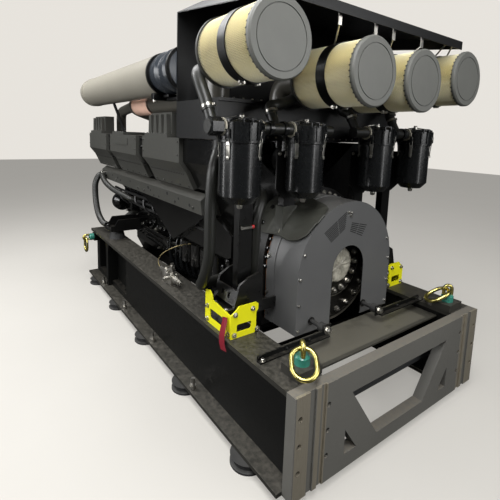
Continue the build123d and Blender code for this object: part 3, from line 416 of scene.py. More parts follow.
def deck_paint(name, colour):
    """Frame paint on the deck, with a painted shade strip along its rear and side borders."""
    paint = Paint(name)
    x, y = paint.axes()[:2]
    fine = paint.noise(42.0, 4.0, 0.65)
    stain = paint.noise(5.0, 5.0, 0.6).smooth(0.52, 0.6)
    # painted shade: the deck darkens towards its rear edge and its sides, standing in for the
    # shade of the recess there
    painted_shade_border = (x.smooth(1.592, 1.60) + abs(y).smooth(0.50, 0.515)).clamped()
    tone = paint.shade(colour, 0.85, 1.2, paint.noise(2.6))
    tone = paint.mix(tone, (0.13, 0.115, 0.085), fine.smooth(0.3, 0.75) * 0.45)
    # the painted shade border and real stains darken the deck together
    tone = paint.mix(tone, scaled(colour, 0.45), (painted_shade_border * 0.85 + stain * 0.35).clamped())
    paint.finish(Base_Color=tone, Roughness=0.45 + (fine - 0.5) * 0.2,
                 Normal=paint.bump(fine, 0.0001))


def clear_film(name, colour):
    """Crumpled wrapping film, cloudy and half clear."""
    paint = Paint(name)
    cloud = paint.noise(22.0)
    folds = paint.noise(45.0, 3.0, 0.5, (1, 0.4, 1))
    paint.finish(Base_Color=paint.shade(colour, 0.5, 1.0, cloud), Roughness=0.2 + cloud * 0.25,
                 Alpha=0.62 + cloud.smooth(0.4, 0.7) * 0.3, Normal=paint.bump(folds, 0.004))


def cable_jacket(name, colour):
    """Jacket of a cable, lightly mottled."""
    paint = Paint(name)
    fine = paint.noise(200.0, 2.0)
    paint.finish(Base_Color=paint.shade(colour, 0.7, 1.4, fine), Roughness=0.32 + fine * 0.15,
                 Normal=paint.bump(fine, 0.0002))


def finish(name):
    """The material of a finish. The record's own materials have the plain slot names."""
    if f"{name}_finish" not in bpy.data.materials:
        raise RuntimeError(f"finish {name} isn't there; run the finishes first")
    return bpy.data.materials[f"{name}_finish"]


def placed(name, data):
    """New object of some data, in the scene."""
    made = bpy.data.objects.new(name, data)
    bpy.context.scene.collection.objects.link(made)
    return made


def piece(name, mesh, coat, body="base", sharp=32.0, outward=True):
    """Makes an object of a bmesh, gives it its finish and its CAD body."""
    if outward:
        bmesh.ops.recalc_face_normals(mesh, faces=mesh.faces)
    data = bpy.data.meshes.new(name)
    mesh.to_mesh(data)
    mesh.free()
    if not data.polygons:
        raise RuntimeError(f"{name} has no faces")
    data.polygons.foreach_set("use_smooth", [True] * len(data.polygons))
    data.set_sharp_from_angle(angle=radians(sharp))
    data.materials.append(finish(coat))
    made = placed(name, data)
    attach(made, body)
    return made


def round_crank(x, radius, angle, z=CRANK_Z):
    """Point on a circle about the crank axis, or about a line parallel to it at another z."""
    return Vector((x, radius * cos(angle), z + radius * sin(angle)))


def stand(position, direction, turn=0.0):
    """Matrix that takes +Z to a direction at a place, turned about it."""
    facing = Vector(direction).to_track_quat("Z", "Y").to_matrix().to_4x4()
    return Matrix.Translation(position) @ facing @ Matrix.Rotation(turn, 4, "Z")


def add_cone(mesh, place, r1, r2, depth, segments):
    bmesh.ops.create_cone(mesh, cap_ends=True, segments=segments, radius1=r1, radius2=r2,
                          depth=depth, matrix=place)


def add_bar(mesh, start, end, r1, r2=None, segments=16):
    """Round or polygonal bar between two points."""
    start, end = Vector(start), Vector(end)
    run = end - start
    add_cone(mesh, stand((start + end) / 2, run), r1, r1 if r2 is None else r2, run.length,
             segments)


def add_hex(mesh, start, end, r1, r2=None):
    add_bar(mesh, start, end, r1, r2, 6)


def add_block(mesh, low, high, bevel=0.0, base=None, tilt=None):
    """Block between two corners in base's frame, tilted about its centre, its edges softened."""
    low, high = Vector(low), Vector(high)
    place = Matrix.Translation((low + high) / 2) @ (tilt or Matrix.Identity(4))
    place = (base or Matrix.Identity(4)) @ place @ Matrix.Diagonal((*(high - low), 1.0))
    verts = bmesh.ops.create_cube(mesh, size=1.0, matrix=place)["verts"]
    if bevel:
        edges = list({e for v in verts for e in v.link_edges})
        bmesh.ops.bevel(mesh, geom=edges, offset=bevel, affect="EDGES", segments=2, profile=0.5,
                        material=-1)


def add_turned(mesh, place, profile, segments=24):
    """Profile of (radius, height) points spun about the place's +Z; open if it starts there."""
    closed = profile[0][0] > 0
    verts = [mesh.verts.new(place @ Vector((r, 0, h))) for r, h in profile]
    ends = verts[1:] + verts[:1] if closed else verts[1:]
    edges = [mesh.edges.new((a, b)) for a, b in zip(verts, ends)]
    axis = (place.to_3x3() @ Vector((0, 0, 1))).normalized()
    bmesh.ops.spin(mesh, geom=verts + edges, cent=place.translation, axis=axis, angle=2 * pi,
                   steps=segments, use_merge=True, use_duplicate=False)
    if not closed:
        bmesh.ops.remove_doubles(mesh, verts=mesh.verts, dist=0.000005)


def band(inner, outer, low, high):
    """Profile of a ring with a rectangular section."""
    return [(inner, low), (outer, low), (outer, high), (inner, high)]


def add_bolt(mesh, position, direction, size, turn=0.3, washer=True):
    """Hex head on a washer; size is the head's radius."""
    place = stand(position, direction, turn)
    washers = [(1.42, 1.42, 0.22, 14)] if washer else []
    height = 0.0
    for low, high, depth, segments in [*washers, (1.0, 1.0, 0.9, 6), (1.0, 0.8, 0.18, 6)]:
        middle = Matrix.Translation((0, 0, height + size * depth / 2))
        add_cone(mesh, place @ middle, size * low, size * high, size * depth, segments)
        height += size * depth


def add_socket_bolt(mesh, position, direction, size):
    """Round cap screw with a hollow socket."""
    profile = [(0, 0), (1, 0), (1, 0.9), (0.88, 1), (0.5, 1), (0.5, 0.5), (0, 0.5)]
    add_turned(mesh, stand(position, direction), [(r * size, h * size) for r, h in profile], 12)


def add_clamp(mesh, position, direction, radius, width, screw_angle):
    """Band clamp round a hose, with its screw housing."""
    place = stand(position, direction)
    half = width / 2
    add_turned(mesh, place, band(radius, radius + 0.0012, -half, half), 32)
    side = place @ Matrix.Rotation(screw_angle, 4, "Z")
    add_block(mesh, (radius, -0.008, -half * 0.9), (radius + 0.009, 0.012, half * 0.9), 0.002,
              side)
    add_hex(mesh, side @ Vector((radius + 0.0045, 0.010, 0)),
            side @ Vector((radius + 0.0045, 0.021, 0)), 0.0036)


def run_of(name, routes, radius, coat, sides=6):
    """Pipes or cables of one thickness along smooth lines, as one mesh on the base."""
    line = bpy.data.curves.new(name, "CURVE")
    line.dimensions = "3D"
    line.bevel_depth = radius
    line.bevel_resolution = max(1, sides // 4)
    line.resolution_u = 6
    line.use_fill_caps = True
    for route in routes:
        spline = line.splines.new("NURBS")
        spline.points.add(len(route) - 1)
        for point, co in zip(spline.points, route):
            point.co = (*co, 1.0)
        spline.order_u = 3
        spline.use_endpoint_u = True
    drawn = placed(name, line)
    depsgraph = bpy.context.evaluated_depsgraph_get()
    mesh = bmesh.new()
    mesh.from_mesh(bpy.data.meshes.new_from_object(drawn.evaluated_get(depsgraph)))
    bpy.data.objects.remove(drawn)
    bpy.data.curves.remove(line)
    piece(name, mesh, coat, sharp=50.0, outward=False)


def colour(name, description, default):
    return FloatVectorProperty(name=name, description=description, default=default,
                               subtype="COLOR", size=3, min=0.0, max=1.0)


def length(name, description, default):
    return FloatProperty(name=name, description=description, default=default, unit="LENGTH")


class ModuleColours(bpy.types.PropertyGroup):
    """Colours of the finishes."""

    frame_top: colour("Frame top", "Paint on the flanges and deck of the base frame",
                      (0.022, 0.021, 0.017))
    frame_side: colour("Frame side", "Paint on the webs of the base frame",
                       (0.0025, 0.0026, 0.0023))
    end_frame: colour("End frame", "Paint on the bolted end frame", (0.125, 0.122, 0.110))
    guard: colour("Guard", "Paint on the coupling guard", (0.097, 0.098, 0.098))
    cover: colour("Covers", "Paint on the bank covers and rails", (0.056, 0.056, 0.050))
    engine: colour("Engine", "Gloss paint on the engine block", (0.0032, 0.0032, 0.0031))
    black: colour("Black parts", "Gloss paint on canisters and hood", (0.0060, 0.0066, 0.0070))
    hose: colour("Hoses", "Rubber of the hoses", (0.0105, 0.0110, 0.0090))
    pipe: colour("Long pipes", "Paint on the long air pipes", (0.310, 0.292, 0.245))
    silicone: colour("Silicone", "Hoses on the charge pipes", (0.95, 0.62, 0.48))
    paper: colour("Filter paper", "Pleated paper of the air filters", (0.90, 0.83, 0.52))
    cap: colour("Filter caps", "Moulded end caps of the air filters", (0.104, 0.106, 0.096))
    yellow: colour("Brackets", "Paint on the transport brackets", (0.80, 0.77, 0.006))
    teal: colour("Lifting cups", "Paint on the lifting cups", (0.03, 0.20, 0.15))
    plating: colour("Lifting links", "Plating on the links and eyes", (0.60, 0.52, 0.17))


class ModuleSizes(bpy.types.PropertyGroup):
    """Sizes of the small parts."""

    guard_bolt: length("Guard bolt", "Head radius on the guard", 0.0085)
    rim_bolt: length("Rim bolt", "Head radius on the housing rim", 0.015)
    cover_bolt: length("Cover bolt", "Head radius on the covers", 0.009)
    frame_bolt: length("Frame bolt", "Head radius on the frame", 0.017)
    disc_bolt: length("Coupling bolt", "Head radius on the coupling", 0.016)
    mesh_pitch: length("Mesh pitch", "Wire spacing round a filter", 0.0085)
    pleats: IntProperty(name="Pleats", description="Pleats in each air filter", default=150,
                        min=40, max=300)


class ModuleStage(bpy.types.PropertyGroup):
    """Floor and lights."""

    floor: FloatVectorProperty(name="Floor", description="Colour of the floor",
                               default=(0.62, 0.60, 0.56), subtype="COLOR", size=3)
    bounce: FloatProperty(name="Bounce", description="Share of light the floor throws back",
                          default=0.07, min=0.0, max=1.0)
    ambient: FloatProperty(name="Ambient", description="Light of the hall from all sides",
                           default=0.11, min=0.0, max=1.0)
    ceiling: FloatProperty(name="Ceiling lamps", description="Power of the overhead lamps",
                           default=220.0, unit="POWER")
    side: FloatProperty(name="Side lamp", description="Power of the lamp at the long side",
                        default=120.0, unit="POWER")


class MODULE_OT_stage(bpy.types.Operator):
    """Camera, lamps, sky and floor"""
    bl_idname = "module.stage"
    bl_label = "Stage"

    def execute(self, context):
        scene = context.scene
        stage = scene.module_stage
        lens = bpy.data.cameras.new("camera")
        lens.sensor_width = 36.0
        lens.lens = 27.841
        lens.shift_y = -0.125
        camera = placed("camera", lens)
        right = Vector((0.58291, 0.81189, 0.03256))
        up = Vector((-0.12965, 0.05337, 0.99012))
        back = Vector((0.80213, -0.58137, 0.13637))
        turn = Matrix((right, up, back)).transposed().to_4x4()
        camera.matrix_world = Matrix.Translation((2.85, -1.857, 1.65)) @ turn
        scene.camera = camera
        scene.view_settings.view_transform = "Standard"
        strip, middle = (0.35, 2.2), (1.0, -0.3, 1.25)
        for name, place, target, size, power in (
                ("ceiling_near", (2.6, -1.6, 4.3), (0.9, -0.2, 0.9), (1.2, 4.0), stage.ceiling),
                ("ceiling_far", (-1.4, -1.2, 4.4), (-0.8, -0.1, 1.2), (1.2, 4.5), stage.ceiling),
                ("long_side", (-0.6, -4.6, 2.4), (-0.2, 0.0, 1.2), (3.5, 1.6), stage.side),
                ("end_side", (4.8, 1.6, 2.6), (1.2, 0.0, 1.2), (2.4, 1.8), stage.side * 0.6),
                ("strip_left", (1.6, -5.4, 1.3), middle, strip, 26.0),
                ("strip_far", (-2.6, -4.4, 1.3), middle, strip, 22.0),
                ("strip_right", (5.4, 0.6, 1.3), middle, strip, 16.0)):
            light = bpy.data.lights.new(name, "AREA")
            light.shape = "RECTANGLE"
            light.size, light.size_y = size
            light.energy = power
            aim = (Vector(target) - Vector(place)).to_track_quat("-Z", "Y")
            placed(name, light).matrix_world = (Matrix.Translation(place)
                                                @ aim.to_matrix().to_4x4())
        scene.world = self.hall(stage.ambient)
        self.floor(stage)
        return {"FINISHED"}

    def hall(self, ambient):
        """Even pale light that the camera sees as a pale wall and gloss as a dim hall."""
        hall = Paint("hall", bpy.data.worlds.new("hall"))

        def ray(kind):
            return hall.node("ShaderNodeLightPath", {}, {}, f"Is {kind} Ray")

        def light(colour, strength=1.0):
            return hall.node("ShaderNodeBackground", {},
                             {"Color": (*colour, 1.0), "Strength": strength})

        def choice(share, first, second):
            return hall.node("ShaderNodeMixShader", {}, {0: share, 1: first, 2: second})

        seen = hall.math("MAXIMUM", ray("Camera"), ray("Transmission"))
        unseen = choice(ray("Glossy"), light((1.0, 0.98, 0.95), ambient),
                        light((0.035, 0.036, 0.038)))
        hall.end("ShaderNodeOutputWorld", choice(seen, unseen, light((0.80, 0.77, 0.72))))
        return hall.holder

    def floor(self, stage):
        """Concrete that looks pale but throws little light back."""
        mesh = bmesh.new()
        bmesh.ops.create_grid(mesh, x_segments=2, y_segments=2, size=20.0)
        data = bpy.data.meshes.new("floor")
        mesh.to_mesh(data)
        mesh.free()
        paint = Paint("floor_concrete")
        seen = paint.node("ShaderNodeLightPath", {}, {}, "Is Camera Ray")
        tone = paint.shade(stage.floor, 0.46, 0.53, paint.noise(0.8, 5.0))
        paint.finish(Base_Color=paint.mix(scaled(stage.floor, stage.bounce), tone, seen),
                     Emission_Color=paint.shade(stage.floor, 0.0, 0.5, seen),
                     Emission_Strength=1.0, Roughness=0.6 + (paint.noise(30.0, 3.0) - 0.5) * 0.1,
                     Specular_IOR_Level=0.2)
        data.materials.append(paint.holder)
        return placed("floor", data)


class MODULE_OT_finishes(bpy.types.Operator):
    """Materials, and their places on the CAD nodes"""
    bl_idname = "module.finishes"
    bl_label = "Finishes"

    def execute(self, context):
        tint = context.scene.module_colours
        painted("frame_top", tint.frame_top, 0.42, dust=0.35)
        painted("frame_side", tint.frame_side, 0.38, dust=0.2, specular=0.3)
        end_frame_paint("end_frame", tint.end_frame)
        guard_paint("guard_grey", tint.guard)
        painted("housing_black", tint.frame_side, 0.4)
        painted("cover_grey", tint.cover, 0.34, dust=0.3, coat=0.2)
        cast("engine_black", tint.engine, 0.2, coat=0.3)
        painted("mount_black", tint.engine, 0.3, dust=0.15, coat=0.2)
        painted("hood_black", scaled(tint.black, 0.37), 0.4, dust=0.03, specular=0.35)
        painted("gloss_black", tint.black, 0.26, grain=0.00001, dust=0.05, coat=0.12)
        painted("fitting_black", scaled(tint.hose, 0.7), 0.4, dust=0.25)
        rubber("hose_rubber", tint.hose, 0.42)
        rubber("bellows_rubber", (0.035, 0.041, 0.050), 0.24, coat=0.5)
        painted("pipe_grey", tint.pipe, 0.33, dust=0.35, coat=0.25)
        painted("charge_grey", scaled(tint.pipe, 0.30), 0.34, dust=0.3, coat=0.3)
        rubber("silicone", tint.silicone, 0.35)
        capped_urethane("filter_cap", tint.cap)
        pleat_paper("filter_media", tint.paper)
        painted("filter_wire", (0.88, 0.84, 0.64), 0.4, dust=0.0)
        painted("band_black", scaled(tint.black, 0.2), 0.38, dust=0.05, specular=0.3)
        rubber("foot_rubber", (0.02, 0.02, 0.02), 0.6)
        metal("plated_steel", (0.62, 0.60, 0.55), 0.3)
        rubber("cleat_black", (0.024, 0.025, 0.026), 0.45)
        rotor_steel("rotor_steel", (0.055, 0.052, 0.045))
        deck_paint("deck_paint", scaled(tint.frame_top, 4.4))
        painted("teal_paint", tint.teal, 0.33, dust=0.1, coat=0.4)
        metal("yellow_plating", tint.plating, 0.3)
        painted("yellow_paint", tint.yellow, 0.38, spread=0.06, dust=0.08)
        # near-black for holes, slots and notches drawn as thin blocks: painted shade inside the
        # openings
        painted("painted_hole_shade", (0.004, 0.004, 0.004), 0.6, dust=0.0)
        metal("brass", (0.30, 0.24, 0.12), 0.35)
        rubber("pale_gasket", (0.46, 0.43, 0.35), 0.6, 0.1)
        painted("red_tag", (0.20, 0.004, 0.016), 0.35, dust=0.0, coat=0.3)
        painted("red_cap", (0.60, 0.03, 0.03), 0.35, dust=0.0)
        cable_jacket("cable_black", (0.016, 0.016, 0.016))
        clear_film("wrap_film", (0.62, 0.59, 0.49))
        rubber("rubber_mat", (0.031, 0.032, 0.025), 0.55)
        for name, (_, *nodes) in FINISHES.items():
            for node in nodes:
                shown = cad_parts[node]
                if not shown.material_slots:
                    shown.data.materials.append(finish(name))
                for slot in shown.material_slots:
                    slot.material = finish(name)
        return {"FINISHED"}


class MODULE_OT_air_filters(bpy.types.Operator):
    """Pleated packs, wire mesh, rim notches as painted shade, and clamp screws of the air filters
    """
    bl_idname = "module.air_filters"
    bl_label = "Air filters"

    def execute(self, context):
        sizes = context.scene.module_sizes
        packs, marks, clamps = (bmesh.new() for _ in range(3))
        for y, z, x1 in FILTERS:
            self.pleats(packs, y, z, x1 - FILTER_LENGTH + 0.02, x1 - 0.02, sizes.pleats)
        pleats = piece("filter_pleats", packs, "filter_media", sharp=80.0, outward=False)
        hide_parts("filter_elements")
        count = int(2 * pi * FILTER_R / sizes.mesh_pitch)
        inset, notches = 0.021, 40
        for i, (y, z, x1) in enumerate(FILTERS):
            wires = bmesh.new()
            for way in (-1, 1):
                self.wires(wires, (x1 - FILTER_LENGTH + inset, y, z),
                           FILTER_LENGTH - 2 * inset, count, way)
            piece(f"filter_mesh_{i + 1}", wires, "filter_wire", sharp=80.0, outward=False)
            # the rim notches are thin near-black blocks on the cap rim: painted shade in the
            # notches
            for k in range(notches):
                spin = Matrix.Rotation(2 * pi * (k + 0.5) / notches, 4, "X")
                add_block(marks, (-0.006, -0.00275, 0.1667), (0.006, 0.00275, 0.1729),
                          base=Matrix.Translation((x1 - 0.0215, y, z)) @ spin)
            band_x = x1 - FILTER_LENGTH * 0.55 + 0.03
            low = z - FILTER_R
            add_bar(clamps, (band_x, y - 0.055, low), (band_x, y + 0.05, low), 0.0042, segments=10)
            for side in (-0.045, 0.04):
                add_block(clamps, (band_x - 0.02, y + side - 0.004, low - 0.010),
                          (band_x + 0.02, y + side + 0.004, low + 0.012), 0.0015)
            add_bolt(clamps, (band_x, y - 0.055, low), (0, -1, 0), 0.0085)
        piece("filter_rim_notches", marks, "painted_hole_shade")
        piece("filter_band_screws", clamps, "plated_steel")
        return {"FINISHED"}

    def pleats(self, mesh, y, z, x0, x1, count):
        steps = 9
        start = Matrix.Translation((x0, y, z)) @ Matrix.Rotation(pi / 2, 4, "Y")
        ring = bmesh.ops.create_circle(mesh, segments=2 * count, radius=PLEAT_TIP,
                                       matrix=start)["verts"]
        axis = Vector((x0, y, z))
        for v in ring[1::2]:
            v.co = axis + (v.co - axis) * (PLEAT_ROOT / PLEAT_TIP)
        edges = list({e for v in ring for e in v.link_edges})
        for k in range(steps):
            made = bmesh.ops.extrude_edge_only(mesh, edges=edges)["geom"]
            edges = [g for g in made if isinstance(g, bmesh.types.BMEdge)]
            for v in (g for g in made if isinstance(g, bmesh.types.BMVert)):
                v.co.x += (x1 - x0) / steps
                sway = noise.noise((v.co - axis) * 9.0 + Vector((y * 7, k, z)))
                turn = Matrix.Rotation(sway * 0.018, 4, "X")
                v.co = axis + turn @ (v.co - axis)

    def wires(self, mesh, centre, reach, count, way):
        """Wires that lean one way: all their ends, drawn along one helix."""
        steps, thick = 14, 0.0007
        rings = []
        for k in range(count):
            place = Matrix.Translation(centre) @ Matrix.Rotation(2 * pi * k / count, 4, "X")
            place = place @ Matrix.Translation((0, 0, FILTER_R - 0.0006))
            rings += bmesh.ops.create_circle(mesh, segments=3, radius=thick, matrix=place
                                             @ Matrix.Rotation(pi / 2, 4, "X"))["verts"]
        edges = list({e for v in rings for e in v.link_edges})
        bmesh.ops.spin(mesh, geom=rings + edges, cent=centre, axis=(1, 0, 0),
                       angle=way * reach / FILTER_R * 0.62, dvec=(reach / steps, 0, 0),
                       steps=steps, use_merge=False, use_duplicate=False)


class MODULE_OT_breathers(bpy.types.Operator):
    """Latches, nuts, gaskets, clamps and drain plugs of the breather canisters"""
    bl_idname = "module.breathers"
    bl_label = "Breathers"

    def execute(self, context):
        bright, dark, pale, plugs, cap = (bmesh.new() for _ in range(5))
        for y in CAN_YS:
            add_turned(bright, Matrix.Translation((CAN_X, y, LID_TOP)),
                       [(0, 0), (0.019, 0), (0.019, 0.006), (0.013, 0.008), (0.013, 0.018),
                        (0.009, 0.0235), (0, 0.0245)], 18)
            for angle in LATCH_ANGLES:
                self.latch(bright, dark, self.face(y, angle))
            self.yoke(dark, bright, y)
            for side in SIDES:
                add_turned(pale, stand((CAN_X, y + side * (LID_R + 0.004), PORT_Z), (0, side, 0)),
                           band(0.033, 0.043, -0.004, 0.003), 28)
            add_turned(dark, Matrix.Translation((CAN_X, y, CAN_SEAM_Z)),
                       [(CAN_R, -0.009), (CAN_R + 0.006, -0.009), (CAN_R + 0.008, -0.006),
                        (CAN_R + 0.008, 0.004), (CAN_R, 0.005)], 48)
            add_turned(plugs, Matrix.Translation((CAN_X, y, CAN_FOOT_Z)),
                       [(0, 0), (0.0, -0.03), (0.012, -0.03), (0.016, -0.022), (0.016, -0.008),
                        (0.026, -0.006), (0.026, 0.0)], 16)
            shift = 0.055 if y == CAN_YS[0] else -0.055 if y == CAN_YS[3] else 0.0
            for reach in (-0.098, 0.098):
                add_bolt(bright, (CAN_X - CAN_R + 0.0005, y + shift + reach, CAN_STRAP_Z),
                         (1, 0, 0), 0.009)
        for y, face in PORT_ENDS:
            inner, middle, outer = (Vector((CAN_X, y + face * out, PORT_Z))
                                    for out in (-0.035, 0.026, 0.034))
            add_hex(dark, inner, middle, 0.046)
            add_hex(dark, middle, outer, 0.045, 0.037)
        for y in PORT_JOINTS:
            for side in SIDES:
                add_turned(dark, stand((CAN_X, y + side * 0.05, PORT_Z), (0, 1, 0)),
                           band(0.033, 0.041, -0.012, 0.012), 28)
        lean = Vector((-0.5, 0, 0.87)).normalized()
        for y in HOSE_YS:
            add_clamp(bright, Vector((CAN_X, y, PORT_Z)) + lean * 0.105, lean, 0.0312, 0.014, 2.2)
        post_x, post_z = 1.146, 1.137
        add_hex(bright, (post_x, -0.672, post_z), (post_x, -0.604, post_z), 0.012)
        add_bar(cap, (post_x, -0.6045, post_z), (post_x, -0.587, post_z), 0.0105)
        piece("post_fitting_cap", cap, "red_cap")
        piece("breather_bright_parts", bright, "plated_steel")
        piece("breather_black_parts", dark, "gloss_black")
        piece("breather_gaskets", pale, "pale_gasket")
        piece("breather_drain_plugs", plugs, "plated_steel")
        return {"FINISHED"}

    def face(self, y, angle):
        """Matrix whose +X points out of a canister's side at an angle."""
        return Matrix.Translation((CAN_X, y, 0)) @ Matrix.Rotation(radians(angle), 4, "Z")

    def latch(self, bright, dark, side):
        """Over-centre latch: lever below, wire bail, and the hook on the lid."""
        lean = Matrix.Rotation(radians(4), 4, "Y")
        for low, high, tilt in (((0.109, -0.0095, 1.536), (0.1135, 0.0095, 1.612), lean),
                                ((0.107, -0.0110, 1.590), (0.1155, 0.0110, 1.606), None),
                                ((0.111, -0.0075, 1.526), (0.1165, 0.0075, 1.542), lean)):
            add_block(bright, low, high, 0.0013, side, tilt)
        self.wire(bright, side, 0.0019, (0.1135, -0.009, 1.60), (0.1225, -0.009, 1.662))
        self.wire(bright, side, 0.0019, (0.1135, 0.009, 1.60), (0.1225, 0.009, 1.662))
        self.wire(bright, side, 0.0019, (0.1225, -0.0105, 1.662), (0.1225, 0.0105, 1.662))
        add_block(dark, (0.109, -0.010, 1.628), (0.1255, 0.010, 1.672), 0.003, side)

    def yoke(self, dark, bright, y):
        """Cross arms over the lid's dome, a loop for the bail, and its wire."""
        slope = Matrix.Rotation(radians(7.5), 4, "Y")
        for angle in YOKE_ANGLES:
            side = self.face(y, angle)
            add_block(dark, (0.012, -0.007, 1.722), (0.104, 0.007, 1.729), 0.002, side, slope)
            add_block(dark, (0.101, -0.009, 1.700), (0.1145, 0.009, 1.719), 0.003, side)
        for low, high in (((0.104, -0.024, 1.694), (0.120, -0.018, 1.722)),
                          ((0.104, 0.018, 1.694), (0.120, 0.024, 1.722)),
                          ((0.110, -0.024, 1.7205), (0.120, 0.024, 1.7255))):
            add_block(dark, low, high, 0.0015, self.face(y, -20))
        self.wire(bright, self.face(y, -100), 0.0016, (0.117, -0.035, 1.640),
                  (0.121, -0.030, 1.690), (0.095, -0.018, 1.7225), (0.030, 0.0, 1.737))

    def wire(self, mesh, side, radius, *points):
        for start, end in zip(points, points[1:]):
            add_hex(mesh, side @ Vector(start), side @ Vector(end), radius)


class MODULE_OT_covers(bpy.types.Operator):
    """Screws and painted-shade holes of the bank covers and rails, and what stands between the
    covers
    """
    bl_idname = "module.covers"
    bl_label = "Covers"

    def execute(self, context):
        size = context.scene.module_sizes.cover_bolt
        screws, holes, fittings, cans = (bmesh.new() for _ in range(4))
        slope = (COVER_KNEE - COVER_LOW).normalized()
        out = Vector((slope.y, -slope.x))
        row, foot = COVER_KNEE - slope * 0.014, COVER_LOW + slope * 0.022
        pitch, lip_pitch = 0.027, 0.05
        for side in SIDES:
            way = Vector((0, side * out.x, out.y))
            for (x0, x1), (lip0, lip1) in zip(COVER_SPANS, LIP_SPANS):
                # each hole is a thin near-black disc on the cover: painted shade inside the hole
                for i in range(int((x1 - x0 - 0.05) / pitch)):
                    spot = Vector((x0 + 0.035 + i * pitch, side * row.x, row.y)) - way * 0.001
                    add_bar(holes, spot, spot + way * 0.0016, 0.0072, segments=8)
                for i in range(5):
                    add_socket_bolt(screws, (x0 + 0.05 + i * (x1 - x0 - 0.1) / 4, side * foot.x,
                                             foot.y), way, size * 0.7)
                for x in (x0 + 0.02, x1 - 0.02):
                    for z in (1.50, 1.585):
                        add_socket_bolt(screws, (x, side * COVER_Y, z), (0, side, 0), size * 0.7)
                for i in range(int((lip1 - lip0) / lip_pitch)):
                    add_socket_bolt(screws, (lip0 + (i + 0.5) * lip_pitch, side * 0.745, 1.635),
                                    (0, 0, 1), size * 0.62)
            # the rail's holes are near-black discs too: painted shade inside them
            for x, z, r in RAIL_HOLES:
                face = SIDE_RAIL_Y + SIDE_RAIL_LEAN * (z - SIDE_RAIL_Z)
                add_bar(holes, (x, side * (face - 0.004), z), (x, side * (face + 0.0012), z), r,
                        segments=12)
            for x in (-1.60, -1.20, -0.55, -0.40, 0.23, 0.52):
                add_socket_bolt(screws, (x, side * 0.6445, 1.140), (0, side, 0), 0.010)
            add_turned(cans, Matrix.Translation((0.385, side * 0.665, 1.6352)),
                       [(0, 0), (0.036, 0), (0.036, 0.120), (0.030, 0.132), (0.012, 0.138),
                        (0.012, 0.150), (0, 0.150)], 28)
            for gap in (-1.065, -0.205):
                self.gap_parts(fittings, gap, side)
        piece("cover_screws", screws, "cover_grey")
        piece("cover_holes", holes, "painted_hole_shade")
        piece("gap_unions", fittings, "engine_black")
        piece("cover_cans", cans, "gloss_black")
        return {"FINISHED"}

    def gap_parts(self, mesh, x, side):
        """Unions and bolts that show between two covers."""
        for z, r in ((1.585, 0.02), (1.52, 0.012), (1.44, 0.016), (1.39, 0.010)):
            y = 0.727 if z > 1.46 else 0.70
            add_hex(mesh, (x, side * y, z), (x, side * (y + 0.012), z), r)
            add_bar(mesh, (x, side * (y + 0.012), z), (x, side * (y + 0.022), z), r * 0.6,
                    segments=12)


